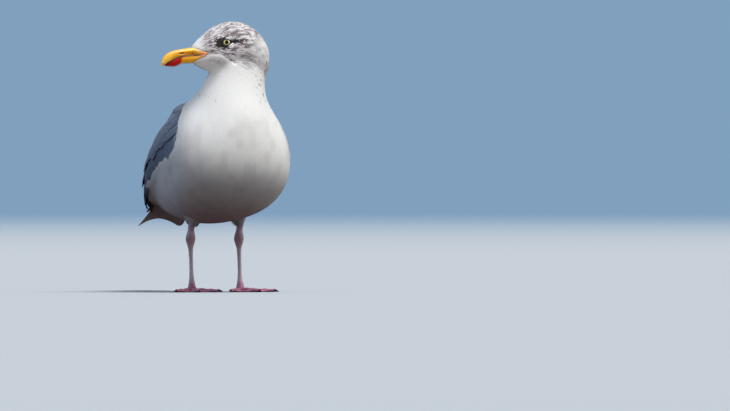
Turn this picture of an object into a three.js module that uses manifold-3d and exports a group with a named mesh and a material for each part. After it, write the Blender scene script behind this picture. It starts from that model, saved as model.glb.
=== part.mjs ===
// A herring gull standing at rest, life size, as a group of solids in millimetres, +Z up.
// The bird faces -Y, its left is +X, and the origin is on the floor below the middle of its box.
// Every point is first given as the bird knows it: forward, left, up, from the floor between its feet.
import * as THREE from "three";
import { mergeVertices } from "three/addons/utils/BufferGeometryUtils.js";
import Module from "manifold-3d";

const wasm = await Module();
wasm.setup();

// ---------------------------------------------------------------- driving dimensions
const GAP = 0.3; // clearance between neighbouring solids
const ORIGIN = { forward: -65.4, left: -11.8 }; // middle of the box, in the bird's own directions

const LEG_SPREAD = { left: 37, right: 30.5 }; // each leg from the middle plane
const LEG_FORWARD = -11; // the feet stand under the weight, a little behind the breast
const THIGH_FLUFF = { left: 0.8, right: 1.15 };
const ANKLE = { forward: -5, up: 69 }; // from the foot
const TARSUS_FOOT = 9; // height at which the shank meets the foot
const TIBIA_CUT = 82; // height at which the bare leg meets the feathered one

const EYE = { forward: 57.6, left: -17.4, up: 325.3 }; // point between the two eyes
const HEAD_TURN = THREE.MathUtils.degToRad(-85); // to the bird's right
const EYE_RADIUS = 7.5;
const EYE_DEPTH = 15; // centre of each eyeball from the head's middle plane

const COLOURS = {
  white: 0xefefec,
  grey: 0x8d959f,
  black: 0x1b1c20,
  bill: 0xe9a61c,
  iris: 0xd9d27c,
  leg: 0xd49aa2,
  claw: 0x17161a,
};

// ---------------------------------------------------------------- frames and small helpers
const at = (forward, left, up) => new THREE.Vector3(left, -forward, up);
const LEFTWARD = at(0, 1, 0);
const UPWARD = at(0, 0, 1);

const headForward = at(Math.cos(HEAD_TURN), Math.sin(HEAD_TURN), 0);
const headLeft = new THREE.Vector3().crossVectors(UPWARD, headForward);
const eyePoint = at(EYE.forward, EYE.left, EYE.up);

// A point of the head: ahead of, above and to the left of the point between the eyes.
const inHead = (ahead, above, left = 0) =>
  eyePoint
    .clone()
    .addScaledVector(headForward, ahead)
    .addScaledVector(UPWARD, above)
    .addScaledVector(headLeft, left);

const closedPower = (x, n) => Math.sign(x) * Math.abs(x) ** (2 / n);

// A solid through cross-sections: each station gives a top point, a bottom point, a half width
// along `side`, and how square the section is (2 is an ellipse). The first and last are points.
// A section may be wider below its middle (low) and its two edges may hang down (droop).
function loft(stations, { side = LEFTWARD, around = 32, along = 32, grow = 0 } = {}) {
  const curve = (points) => new THREE.CatmullRomCurve3(points, false, "catmullrom", 0.5);
  const tops = curve(stations.map((s) => s.top));
  const bottoms = curve(stations.map((s) => s.bottom));
  const sizes = curve(stations.map((s) => new THREE.Vector3(s.half, s.square, s.low)));
  const droops = curve(stations.map((s) => new THREE.Vector3(s.droop ?? 0, 0, 0)));

  const geometry = new THREE.SphereGeometry(1, around, along);
  const { position, uv } = geometry.attributes;
  for (let i = 0; i < position.count; i++) {
    const t = 1 - uv.getY(i);
    const angle = uv.getX(i) * 2 * Math.PI;
    const top = tops.getPoint(t);
    const bottom = bottoms.getPoint(t);
    const size = sizes.getPoint(t);
    const middle = top.clone().add(bottom).multiplyScalar(0.5);
    const rise = top.sub(bottom).multiplyScalar(0.5);
    const height = rise.length();
    if (height > 1e-6) rise.multiplyScalar((height + grow) / height);
    const across = closedPower(Math.sin(angle), size.y) * (Math.max(size.x, 0) + grow);
    const upright = closedPower(Math.cos(angle), size.y);
    const isPole = t < 1e-6 || t > 1 - 1e-6;
    const belly = 1 - size.z * upright;
    const hang = droops.getPoint(t).x * Math.sin(angle) ** 2;
    const point = isPole
      ? middle
      : middle.addScaledVector(rise, upright).addScaledVector(side, across * belly);
    point.z -= isPole ? 0 : hang;
    position.setXYZ(i, point.x, point.y, point.z);
  }
  return solid(geometry);
}

// A three.js geometry as a manifold solid, turned right side out if need be.
function solid(geometry) {
  const bare = geometry.clone();
  bare.deleteAttribute("normal");
  bare.deleteAttribute("uv");
  const merged = mergeVertices(bare, 1e-4);
  const vertProperties = new Float32Array(merged.attributes.position.array);
  const triVerts = new Uint32Array(merged.index.array);
  const made = new wasm.Manifold(new wasm.Mesh({ numProp: 3, vertProperties, triVerts }));
  if (made.volume() > 0) return made;
  for (let i = 0; i < triVerts.length; i += 3) {
    [triVerts[i + 1], triVerts[i + 2]] = [triVerts[i + 2], triVerts[i + 1]];
  }
  return new wasm.Manifold(new wasm.Mesh({ numProp: 3, vertProperties, triVerts }));
}

// The half of space on one side of a plane, as a large box.
function halfSpace(point, normal, size = 900) {
  const box = new THREE.BoxGeometry(size, size, size);
  const turn = new THREE.Quaternion().setFromUnitVectors(UPWARD, normal.clone().normalize());
  box.translate(0, 0, size / 2).applyQuaternion(turn).translate(point.x, point.y, point.z);
  return solid(box);
}

const station = (top, bottom, half, square = 2, low = 0) => ({ top, bottom, half, square, low });
const pole = (point) => station(point, point, 0.01);
const inPlane = ([f1, u1], [f2, u2], half, square, low, left = 0) =>
  station(at(f1, left, u1), at(f2, left, u2), half, square, low);

const group = new THREE.Group();
group.position.copy(at(-ORIGIN.forward, -ORIGIN.left, 0));

function addNode(name, made, colour, roughness = 0.8) {
  const { vertProperties, triVerts } = made.getMesh();
  const geometry = new THREE.BufferGeometry();
  geometry.setAttribute("position", new THREE.BufferAttribute(vertProperties, 3));
  geometry.setIndex(new THREE.BufferAttribute(triVerts, 1));
  const material = new THREE.MeshStandardMaterial({ color: colour, roughness, metalness: 0 });
  const mesh = new THREE.Mesh(geometry, material);
  mesh.name = name;
  group.add(mesh);
}

// ---------------------------------------------------------------- trunk, neck and head, modelled whole
// Sections fan from the tail root, round the breast and up the neck into the head.
const bodyStations = [
  pole(at(-190, 0, 118)),
  inPlane([-178, 133], [-174, 109], 18),
  inPlane([-142, 160], [-134, 102], 35, 2.1),
  inPlane([-102, 189], [-90, 94], 53, 2.1),
  inPlane([-66, 214], [-42, 89], 65, 2.15, 0.02),
  inPlane([-38, 231], [6, 91], 73, 2.25, 0.05),
  inPlane([-18, 242], [54, 101], 78, 2.45, 0.1),
  inPlane([-6, 249], [88, 125], 78, 2.4, 0.13),
  inPlane([1, 255], [105, 158], 72, 2.25, 0.1),
  inPlane([5, 261], [107, 192], 61, 2.1, 0.05),
  inPlane([9, 267], [103, 222], 48.5, 2, 0, 1),
  inPlane([14, 275], [95, 246], 41.5, 2, 0, 2),
  inPlane([20, 284], [88, 266], 38.5, 2, 0, 5),
  inPlane([27, 294], [84, 286], 36, 2, 0, 9),
  inPlane([34, 304], [79, 301], 32, 2, 0, 10),
  pole(at(56, 12, 312)),
];
const headStations = [
  pole(inHead(43, -17)),
  station(inHead(41.8, -9.2), inHead(41, -27.5), 8.5, 2.2),
  station(inHead(33, 0.8), inHead(32, -33), 12.5, 2.1),
  station(inHead(20.4, 12.4), inHead(20, -38.5), 17.8),
  station(inHead(2, 22.8), inHead(5, -41), 21.4),
  station(inHead(-17, 25.7), inHead(-13, -43), 26),
  station(inHead(-35, 23), inHead(-33, -47), 28.5),
  station(inHead(-50, 13.5), inHead(-50, -50), 28.5),
  station(inHead(-60, -1), inHead(-60, -47), 23),
  pole(inHead(-66, -25)),
];
const bodyLoft = (grow) => loft(bodyStations, { around: 28, along: 30, grow });
const headLoft = (grow) => loft(headStations, { side: headLeft, around: 20, along: 15, grow });
const wholeBody = bodyLoft(0).add(headLoft(0));
const grownBody = bodyLoft(GAP).add(headLoft(GAP));

// ---------------------------------------------------------------- eyes
const eyeBall = (side, radius) => {
  const ball = new THREE.SphereGeometry(radius, 12, 8);
  const centre = inHead(0, 0, side * EYE_DEPTH);
  ball.translate(centre.x, centre.y, centre.z);
  return solid(ball);
};
let headSolid = wholeBody;
for (const side of [1, -1]) headSolid = headSolid.subtract(eyeBall(side, EYE_RADIUS + GAP));
for (const [name, side] of [["eye_left", 1], ["eye_right", -1]]) {
  addNode(name, eyeBall(side, EYE_RADIUS), COLOURS.iris, 0.1);
}

// ---------------------------------------------------------------- bill
// Both halves share the gape line, and the upper one hooks over the lower.
const upperStations = [
  pole(inHead(33, -13)),
  station(inHead(34, -7), inHead(34, -16.8), 7.6, 2.4),
  station(inHead(43, -8), inHead(42, -17.8), 7.2, 2.5),
  station(inHead(52.5, -9.8), inHead(52, -18.4), 6.4, 2.5),
  station(inHead(61, -10.8), inHead(60, -20), 5.6, 2.4),
  station(inHead(69, -11.8), inHead(67, -21.8), 5, 2.3),
  station(inHead(76.5, -14), inHead(73, -23.6), 4.4, 2.1),
  station(inHead(83, -19), inHead(77.5, -26.6), 3.5, 2),
  station(inHead(86.2, -25), inHead(81, -29.4), 2.2, 2),
  pole(inHead(86, -31.5)),
];
const lowerStations = [
  pole(inHead(33, -21)),
  station(inHead(34, -14), inHead(34, -28), 7, 2.2),
  station(inHead(43, -15), inHead(43, -28.4), 6.6, 2.2),
  station(inHead(52.5, -16), inHead(52.5, -28.9), 5.6, 2.2),
  station(inHead(60, -17), inHead(60.5, -29.8), 4.9, 2.1),
  station(inHead(66, -18.5), inHead(66.5, -33), 4.3, 2),
  station(inHead(73, -21), inHead(73.5, -32.6), 3.6, 2),
  station(inHead(78, -25), inHead(79, -31.4), 2.4, 2),
  pole(inHead(81, -29.2)),
];
const upperBill = (grow) => loft(upperStations, { side: headLeft, around: 12, along: 16, grow });
const lowerBill = loft(lowerStations, { side: headLeft, around: 10, along: 12 });
const grownHead = headLoft(GAP);
addNode("bill_upper", upperBill(0).subtract(grownHead), COLOURS.bill, 0.35);
addNode("bill_lower", lowerBill.subtract(grownHead).subtract(upperBill(GAP)), COLOURS.bill, 0.35);

// ---------------------------------------------------------------- parting the body
const NECK_BASE = { point: at(50, 0, 240), normal: at(0.24, 0, 0.97) };
const NECK_TOP = { point: at(57, 0, 283), normal: at(0, 0.06, 1) };
const above = ({ point, normal }, by) =>
  halfSpace(point.clone().addScaledVector(normal.clone().normalize(), by), normal);

addNode("trunk", wholeBody.subtract(above(NECK_BASE, -GAP / 2)), COLOURS.white);
addNode(
  "neck",
  wholeBody.intersect(above(NECK_BASE, GAP / 2)).subtract(above(NECK_TOP, -GAP / 2)),
  COLOURS.white,
);
addNode("head", headSolid.intersect(above(NECK_TOP, GAP / 2)), COLOURS.white);

// ---------------------------------------------------------------- folded wings, flight feathers and tail
const wingStations = (s) => [
  pole(at(44, s * 50, 210)),
  station(at(40, s * 48, 228), at(42, s * 62, 190), 12, 2.2),
  station(at(20, s * 41, 243), at(20, s * 70, 174), 16, 2.3),
  station(at(-18, s * 35, 244), at(-16, s * 70, 158), 17.5, 2.3),
  station(at(-56, s * 30, 227), at(-56, s * 68, 142), 17.5, 2.3),
  station(at(-94, s * 24, 200), at(-92, s * 60, 127), 15, 2.3),
  station(at(-128, s * 19, 174), at(-124, s * 49, 113), 11, 2.2),
  station(at(-160, s * 13, 150), at(-156, s * 36, 110), 6, 2),
  pole(at(-186, s * 18, 128)),
];
const primaryStations = (s) => [
  pole(at(-112, s * 48, 124)),
  station(at(-122, s * 40, 138), at(-122, s * 49, 108), 3.4, 2),
  station(at(-152, s * 24, 137), at(-156, s * 34, 106), 3.2, 2),
  station(at(-190, s * 11, 125), at(-192, s * 20, 104), 2.6, 2),
  station(at(-222, s * 4, 114), at(-224, s * 8.5, 103), 1.8, 2),
  pole(at(-238, s * 4, 106)),
];
const wingLoft = (s, grow = 0) =>
  loft(wingStations(s), { side: at(0, s * 0.88, 0.4), around: 14, along: 17, grow });

const tailStation = (top, bottom, half, droop) => ({ ...inPlane(top, bottom, half, 2.6), droop });
const tailLoft = (grow = 0) =>
  loft(
    [
      pole(at(-150, 0, 123)),
      tailStation([-156, 128], [-157, 116], 20, 2),
      tailStation([-172, 118], [-173, 110], 23, 5),
      tailStation([-190, 106], [-191, 101], 25, 6),
      tailStation([-205, 98], [-206, 94.5], 25, 6),
      pole(at(-210, 0, 95)),
    ],
    { around: 20, along: 10, grow },
  );
addNode("tail", tailLoft().subtract(grownBody), COLOURS.white);

for (const [side, s] of [["left", 1], ["right", -1]]) {
  addNode(`wing_${side}`, wingLoft(s).subtract(grownBody).subtract(tailLoft(GAP)), COLOURS.grey);
  const primaries = loft(primaryStations(s), { side: at(0, s * 0.9, 0.3), around: 10, along: 12 });
  const clear = primaries.subtract(wingLoft(s, GAP)).subtract(grownBody).subtract(tailLoft(GAP));
  addNode(`primaries_${side}`, clear, COLOURS.black);
}

// ---------------------------------------------------------------- legs
const FLOOR = halfSpace(at(0, 0, 0), UPWARD);
const aboveHeight = (z) => halfSpace(at(0, 0, z), UPWARD);

function shank(left, fluff) {
  const { forward, up } = ANKLE;
  const ring = ([f, u], deep, half) =>
    station(at(LEG_FORWARD + f + deep, left, u), at(LEG_FORWARD + f - deep, left, u), half);
  return loft(
    [
      pole(at(LEG_FORWARD + 1, left, 1)),
      ring([1, 4], 6, 5.4),
      ring([0, 10], 4.8, 4.2),
      ring([-1, 20], 3.9, 3.1),
      ring([-3, 42], 3.9, 3),
      ring([forward, up - 10], 4.8, 4.2),
      ring([forward, up], 6.6, 6.2),
      ring([forward + 1, up + 9], 5.2, 4.9),
      ring([forward + 3, up + 16], 6 * fluff, 6 * fluff),
      ring([forward + 6, up + 23], 10 * fluff, 8 * fluff),
      ring([forward + 9, up + 36], 17 * fluff, 13 * fluff),
      pole(at(LEG_FORWARD + forward + 10, left * 0.95, up + 50)),
    ],
    { side: LEFTWARD, around: 10, along: 18 },
  );
}

// ---------------------------------------------------------------- feet
// Turn is the toe's direction, outwards from the foot's own, and length runs to the claw's root.
const TOES = {
  inner: { turn: -42, length: 42, radius: 2.7 },
  middle: { turn: 3, length: 54, radius: 3 },
  outer: { turn: 38, length: 50, radius: 2.7 },
};
const FOOT_TURN = { left: 2.5, right: 8 };
const CLAW = { length: 8, radius: 2.1 };
const WEB = { bottom: 0.7, thickness: 1.3 };
const FOOT_HUB = LEG_FORWARD + 2;
const PAD = { radius: 6.5, height: 4.5, up: 1.6 }; // the ball of the foot, flat where it stands

// A frame for a toe: a point some way along it, to its side and up.
function toeFrame(foot, turn) {
  const angle = THREE.MathUtils.degToRad(turn + foot.turn) * foot.side;
  const out = at(Math.cos(angle), Math.sin(angle), 0);
  const side = at(-Math.sin(angle), Math.cos(angle), 0);
  const hub = at(FOOT_HUB, foot.left, 0);
  const point = (along, up, across = 0) =>
    hub.clone().addScaledVector(out, along).addScaledVector(side, across).addScaledVector(UPWARD, up);
  return { point, side };
}

function toe(foot, { turn, length, radius }) {
  const { point, side } = toeFrame(foot, turn);
  const stations = [pole(point(-4, 3))];
  const joints = 3; // knuckles swell between the hub and the claw
  for (let i = 0; i <= 2 * joints; i++) {
    const share = i / (2 * joints);
    const r = radius * (1.1 - 0.25 * share) * (i % 2 ? 1.12 : 0.88);
    const along = share * (length - 2);
    stations.push(station(point(along, r * 1.7), point(along, -r * 0.3), r));
  }
  stations.push(pole(point(length, 1.6)));
  return loft(stations, { side, around: 7, along: 8 });
}

function web(foot) {
  const tip = (name, share) => {
    const p = toeFrame(foot, TOES[name].turn).point(TOES[name].length * share, 0);
    return new THREE.Vector2(p.x, p.y);
  };
  const hub = at(FOOT_HUB - 2, foot.left, 0);
  const middle = tip("middle", 0.97);
  const innerBay = tip("inner", 0.7).lerp(tip("middle", 0.66), 0.5);
  const outerBay = tip("middle", 0.76).lerp(tip("outer", 0.76), 0.5);
  const shape = new THREE.Shape();
  shape.moveTo(hub.x, hub.y);
  shape.lineTo(...tip("inner", 0.95));
  shape.quadraticCurveTo(...innerBay, ...middle);
  shape.quadraticCurveTo(...outerBay, ...tip("outer", 0.95));
  shape.closePath();
  const options = { depth: WEB.thickness, bevelEnabled: false, curveSegments: 4 };
  const sheet = new THREE.ExtrudeGeometry(shape, options);
  sheet.translate(0, 0, WEB.bottom);
  return solid(sheet);
}

// A claw is a short curved cone whose tip comes down towards the floor.
function claw({ point, side }, { root, length, radius, rise = 2.2, drop = 1.7 }, grow = 0) {
  const stations = [pole(point(root - 1.5 - grow, rise))];
  const steps = 3;
  for (let i = 0; i <= steps; i++) {
    const share = i / (steps + 0.6);
    const r = radius * (1 - share) ** 0.8;
    const height = rise - drop * share ** 2;
    const along = root + length * share;
    stations.push(station(point(along, height + r), point(along, height - r), r * 0.8));
  }
  stations.push(pole(point(root + length, rise - drop)));
  return loft(stations, { side, around: 6, along: 6, grow });
}

for (const [side, s] of [["left", 1], ["right", -1]]) {
  const foot = { side: s, left: s * LEG_SPREAD[side], turn: FOOT_TURN[side] };
  const leg = shank(foot.left, THIGH_FLUFF[side]);
  const lowerLeg = leg.subtract(aboveHeight(TIBIA_CUT - GAP / 2));
  const upperLeg = leg.intersect(aboveHeight(TIBIA_CUT + GAP / 2));
  addNode(`thigh_${side}`, upperLeg.subtract(grownBody), COLOURS.white);
  addNode(`tarsus_${side}`, lowerLeg.intersect(aboveHeight(TARSUS_FOOT + GAP / 2)), COLOURS.leg, 0.5);

  const ball = new THREE.SphereGeometry(1, 10, 6);
  ball.scale(PAD.radius, PAD.radius, PAD.height);
  ball.translate(foot.left, -FOOT_HUB, PAD.up);
  let sole = web(foot).add(leg).add(solid(ball));
  for (const spec of Object.values(TOES)) sole = sole.add(toe(foot, spec));
  const back = toeFrame(foot, 180 - 2 * foot.turn);
  const hind = loft(
    [
      pole(back.point(-2, 7)),
      station(back.point(3, 7.6), back.point(3, 3.6), 1.9),
      station(back.point(8, 5.6), back.point(8, 2.6), 1.5),
      pole(back.point(10.5, 3.6)),
    ],
    { side: back.side, around: 8, along: 6 },
  );
  sole = sole.add(hind).intersect(FLOOR).subtract(aboveHeight(TARSUS_FOOT - GAP / 2));

  const hindSpec = { root: 9.6, length: 4.6, radius: 1.2, rise: 3.9, drop: 3.4 };
  const clawFrames = { hind: [back, hindSpec] };
  for (const [name, { turn, length }] of Object.entries(TOES)) {
    clawFrames[name] = [toeFrame(foot, turn), { root: length - 1, ...CLAW }];
  }
  for (const [name, [frame, spec]] of Object.entries(clawFrames)) {
    addNode(`claw_${side}_${name}`, claw(frame, spec).intersect(aboveHeight(GAP)), COLOURS.claw, 0.35);
    sole = sole.subtract(claw(frame, spec, GAP));
  }
  const pieces = sole.decompose().sort((a, b) => b.volume() - a.volume());
  addNode(`foot_${side}`, pieces[0], COLOURS.leg, 0.5);
}

export default group;
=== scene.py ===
"""A herring gull at rest: one skin under a coat of vanes, laid feathers on wings and tail, horn and eyes."""
import math
import bpy
import numpy as np
from mathutils.bvhtree import BVHTree
from mathutils.kdtree import KDTree
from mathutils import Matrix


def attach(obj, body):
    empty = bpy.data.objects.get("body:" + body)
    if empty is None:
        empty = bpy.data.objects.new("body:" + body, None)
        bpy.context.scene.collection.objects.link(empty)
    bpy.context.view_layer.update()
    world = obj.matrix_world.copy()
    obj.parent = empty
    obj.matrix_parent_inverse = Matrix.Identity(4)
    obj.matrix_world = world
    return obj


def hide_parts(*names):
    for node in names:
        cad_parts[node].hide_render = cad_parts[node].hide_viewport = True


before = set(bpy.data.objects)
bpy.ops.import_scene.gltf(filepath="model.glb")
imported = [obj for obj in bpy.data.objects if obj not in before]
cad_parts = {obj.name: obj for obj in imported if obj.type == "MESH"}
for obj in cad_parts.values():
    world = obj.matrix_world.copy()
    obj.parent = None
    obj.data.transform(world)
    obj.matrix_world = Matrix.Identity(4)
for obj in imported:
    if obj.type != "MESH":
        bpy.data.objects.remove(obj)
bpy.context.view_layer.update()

# ---------------- directions and sizes, in millimetres
# Shapes are worked out as the bird knows them: (forward, left, up) from the floor between its feet.
ORIGIN_FORWARD = -65.4
ORIGIN_LEFT = -11.8
MM = 0.001
UP = np.array([0.0, 0.0, 1.0])
LEFT = np.array([0.0, 1.0, 0.0])
BODY_BACK = np.array([-0.87, 0.0, -0.49])  # from the neck root along the trunk to the tail
BODY_DOWN = np.array([0.49, 0.0, -0.87])  # square to it
SIDES = (("left", 1), ("right", -1))

HEAD_TURN = math.radians(-85)
HEAD_AHEAD = np.array([math.cos(HEAD_TURN), math.sin(HEAD_TURN), 0.0])
HEAD_LEFT = np.array([-math.sin(HEAD_TURN), math.cos(HEAD_TURN), 0.0])
EYE_MIDDLE = np.array([57.6, -17.4, 325.3])  # the head's own origin, between the eyes
EYE_DEPTH = 15.0
EYE_RADIUS = 7.4
EYE_DROP = 1.4  # the eyes sit this far below the head's own origin
EYE_TILT = math.radians(13)  # each eye looks a little ahead of square
LID_OPENING = 5.0
LID_EDGE = 5.6  # where the skin meets the lid
BROW, UNDER_EYE = 1.66, 1.38  # how much nearer the lids come above and below than at the corners

NECK_FOOT, NECK_TOP = 238, 291
HEAD_FOOT = 262  # where the feathers begin to lie as on the head

BODY = ["trunk", "neck", "head", "wing_left", "wing_right"]
THIGHS = ["thigh_left", "thigh_right"]  # inside the belly feathers, where only the bare shank comes out
EYES = ["eye_left", "eye_right"]
LEGS = ["tarsus_left", "tarsus_right", "foot_left", "foot_right"]
BODY_SWELL = 0.35
BODY_VOXEL = 2.1
LEG_VOXEL = 0.6


def srgb(red, green, blue):
    """A colour as it looks, 0 to 255, turned into light."""
    c = np.array([red, green, blue]) / 255
    return np.where(c <= 0.04045, c / 12.92, ((c + 0.055) / 1.055) ** 2.4)


WHITE = srgb(231, 231, 230)
PURE_WHITE = srgb(252, 251, 248)
GREY = srgb(102, 120, 148)
BLACK = srgb(28, 27, 31)
STREAK = srgb(76, 59, 65)
SMUDGE = srgb(11, 8, 11)
LAVENDER = srgb(178, 166, 174)


def to_row(points):
    """Bird millimetres to the row frame in metres."""
    f, l, u = points[..., 0], points[..., 1], points[..., 2]
    return np.stack([l - ORIGIN_LEFT, ORIGIN_FORWARD - f, u], -1) * MM


def to_bird(points):
    """Row frame in metres to bird millimetres."""
    x, y, z = points[..., 0] / MM, points[..., 1] / MM, points[..., 2] / MM
    return np.stack([ORIGIN_FORWARD - y, x + ORIGIN_LEFT, z], -1)


def in_head(ahead, above, left=0.0):
    """A point of the head, from the point between the eyes."""
    return EYE_MIDDLE + ahead * HEAD_AHEAD + above * UP + left * HEAD_LEFT


def head_coordinates(points):
    """Ahead, above and left of the point between the eyes."""
    away = points - EYE_MIDDLE
    return away @ HEAD_AHEAD, away[..., 2], away @ HEAD_LEFT


BILL_POINT = in_head(56, -20)  # the feathers of the head run back from here


def unit(vectors):
    """The same directions with length 1."""
    return vectors / np.maximum(np.linalg.norm(vectors, axis=-1, keepdims=True), 1e-9)


def smooth(low, high, x):
    """A smooth step from 0 at low to 1 at high. It falls instead where high is the smaller number."""
    t = np.clip((x - low) / (high - low), 0, 1)
    return t * t * (3 - 2 * t)


def between(x, start, full, last_full, end):
    """1 where x lies between full and last_full, fading to 0 at start and end."""
    return smooth(start, full, x) * smooth(end, last_full, x)


def ridge(x, middle, wide):
    """1 at the middle, fading smoothly to both sides."""
    return np.exp(-((x - middle) / wide) ** 2)


def mix(colour, other, amount):
    """One colour blended towards another, by an amount for each place."""
    amount = np.asarray(amount)[..., None]
    return colour * (1 - amount) + other * amount


LATTICE_PRIMES = (73856093, 19349663, 83492791)
SEED_PRIME = 2654435
LOW_BITS = 0x7FFFFFFF


def value_noise(points, scale, seed):
    """Smooth random values from 0 to 1, with lumps about scale millimetres across."""
    q = points / scale + 1000.0
    cell = np.floor(q).astype(np.int64)
    t = q - cell
    t = t * t * (3 - 2 * t)
    total = 0.0
    for corner in range(8):
        step = np.array([corner & 1, corner >> 1 & 1, corner >> 2 & 1])
        x, y, z = np.moveaxis((cell + step) * LATTICE_PRIMES, -1, 0)
        mixed = (x ^ y ^ z ^ seed * SEED_PRIME) & LOW_BITS
        mixed = (mixed * 1103515245 + 12345) & LOW_BITS
        weight = np.prod(np.where(step, t, 1 - t), axis=-1)
        total = total + weight * (mixed % 65536) / 65535.0
    return total


# ---------------- meshes
def placed(name, data):
    """A new object of the scene."""
    thing = bpy.data.objects.new(name, data)
    bpy.context.scene.collection.objects.link(thing)
    return thing


def make_object(name, verts, faces, material=None):
    """A smooth mesh object in the row frame from bird millimetres."""
    mesh = bpy.data.meshes.new(name)
    mesh.from_pydata(to_row(np.asarray(verts)).tolist(), [], [list(map(int, f)) for f in faces])
    mesh.polygons.foreach_set("use_smooth", [True] * len(mesh.polygons))
    mesh.update()
    if material:
        mesh.materials.append(material)
    return placed(name, mesh)


def painted(thing, name, values):
    """Gives each vertex of an object a colour, or any three numbers, under a name."""
    paint = thing.data.attributes.new(name, "FLOAT_COLOR", "POINT")
    rgba = np.ones((len(values), 4), np.float32)
    rgba[:, :3] = values
    paint.data.foreach_set("color", rgba.ravel())


def handed_in(thing, slot, *nodes):
    """A visible piece: it rides on the body, and may stand for CAD nodes, which it hides. The slot is not
    used.
    """
    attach(thing, "root")
    if nodes:
        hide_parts(*nodes)


def values_of(items, field, width, kind=np.float32):
    """One field of many mesh items as rows of numbers."""
    values = np.empty(len(items) * width, kind)
    items.foreach_get(field, values)
    return values.reshape(-1, width)


def vertex_normals(verts, tris):
    a, b, c = verts[tris[:, 0]], verts[tris[:, 1]], verts[tris[:, 2]]
    face = np.cross(b - a, c - a)
    total = np.zeros_like(verts)
    for k in range(3):
        np.add.at(total, tris[:, k], face)
    return unit(total)


def neighbour_mean(values, edges):
    """The mean of each vertex's neighbours."""
    count = len(values)
    degree = np.maximum(np.bincount(edges.ravel(), minlength=count), 1)
    a, b = edges.T
    return np.stack([(np.bincount(a, values[b, k], count) + np.bincount(b, values[a, k], count)) / degree
                     for k in range(3)], -1)


def relax(verts, edges, rounds, pull=0.5):
    """Evens out a mesh without shrinking it much."""
    for i in range(rounds):
        factor = pull if i % 2 == 0 else -pull * 0.96
        verts = verts + factor * (neighbour_mean(verts, edges) - verts)
    return verts


def evened(verts, edges, rounds, share):
    """Takes flats and ridges out of each vertex's share of a coarse loft, and keeps the broad form."""
    def blurred(values):
        for _ in range(rounds):
            values = values + 0.6 * (neighbour_mean(values, edges) - values)
        return values

    away = blurred(verts) - verts
    return verts + (away - blurred(away)) * share[:, None]


def node_surfaces(nodes, swell):
    """These CAD nodes as (vertices in bird millimetres, triangles), a little swollen."""
    made = []
    for node_name in nodes:
        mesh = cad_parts[node_name].data
        mesh.calc_loop_triangles()
        verts = to_bird(values_of(mesh.vertices, "co", 3).astype(float))
        verts, back = np.unique(np.round(verts, 3), axis=0, return_inverse=True)
        tris = back.ravel()[values_of(mesh.loop_triangles, "vertices", 3, np.int32)]
        made.append((verts + vertex_normals(verts, tris) * swell, tris))
    return made


def remeshed(surfaces, voxel):
    """Vertices (bird millimetres), quads and edges of one closed surface round all of these."""
    verts, faces, start = [], [], 0
    for co, polygons in surfaces:
        verts.append(co)
        faces += [[int(i) + start for i in f] for f in polygons]
        start += len(co)
    rough = make_object("rough", np.vstack(verts), faces)
    modifier = rough.modifiers.new("voxels", "REMESH")
    modifier.mode = "VOXEL"
    modifier.voxel_size = voxel * MM
    bpy.context.view_layer.update()
    done = rough.evaluated_get(bpy.context.evaluated_depsgraph_get()).to_mesh()
    co = to_bird(values_of(done.vertices, "co", 3).astype(float))
    quads = np.array([tuple(p.vertices) for p in done.polygons])
    edges = np.array([tuple(e.vertices) for e in done.edges])
    bpy.data.objects.remove(rough)
    return co, quads, edges


def triangles(quads):
    return np.vstack([quads[:, [0, 1, 2]], quads[:, [0, 2, 3]]])


def as_triangles(faces):
    return np.array([[f[0], f[i], f[i + 1]] for f in faces for i in range(1, len(f) - 1)])


def tube(around, rings):
    """Faces of a closed form that has a first point, rings of vertices and a last point."""
    here = 1 + np.arange(around)
    pairs = list(zip(here, 1 + here % around))
    faces = [[0, b, a] for a, b in pairs]
    for low in range(0, (rings - 1) * around, around):
        high = low + around
        faces += [[low + a, low + b, high + b, high + a] for a, b in pairs]
    high, last = (rings - 1) * around, 1 + rings * around
    return faces + [[high + a, high + b, last] for a, b in pairs]


def catmull(values, t):
    """A smooth curve through rows of values, at each t from 0 to 1."""
    values = np.asarray(values, float)
    padded = np.vstack([2 * values[0] - values[1], values, 2 * values[-1] - values[-2]])
    place = (len(values) - 1) * np.asarray(t)
    i = np.minimum(np.floor(place).astype(int), len(values) - 2)
    w = (place - i)[:, None]
    a, b, c, d = padded[i], padded[i + 1], padded[i + 2], padded[i + 3]
    return b + 0.5 * w * (c - a + w * (2 * a - 5 * b + 4 * c - d + w * (3 * (b - c) + d - a)))


def loft(stations, side, around, along):
    """A closed surface through sections: top, bottom, half width, and squareness (2 if left out)."""
    t = np.linspace(0, 1, along + 1)
    top, bottom = (catmull([s[k] for s in stations], t) for k in (0, 1))
    size = catmull([[s[2], s[3] if len(s) > 3 else 2.0] for s in stations], t)
    angle = np.linspace(0, 2 * math.pi, around, endpoint=False)
    power = 2 / size[:, 1:2]
    sine, cosine = np.sin(angle)[None], np.cos(angle)[None]
    across = np.sign(sine) * np.abs(sine) ** power * np.maximum(size[:, :1], 0)
    upright = np.sign(cosine) * np.abs(cosine) ** power
    middle, rise = (top + bottom) / 2, (top - bottom) / 2
    grid = middle[:, None] + rise[:, None] * upright[..., None] + side * across[..., None]
    verts = np.vstack([middle[:1], grid[1:-1].reshape(-1, 3), middle[-1:]])
    faces = tube(around, along - 1)
    a, b, c = verts[as_triangles(faces)].transpose(1, 0, 2)
    if (a * np.cross(b, c)).sum() < 0:  # the volume, when the faces look inwards
        faces = [f[::-1] for f in faces]
    return verts, faces


TRIES = 4.5  # random places tried for each root that would fit


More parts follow.
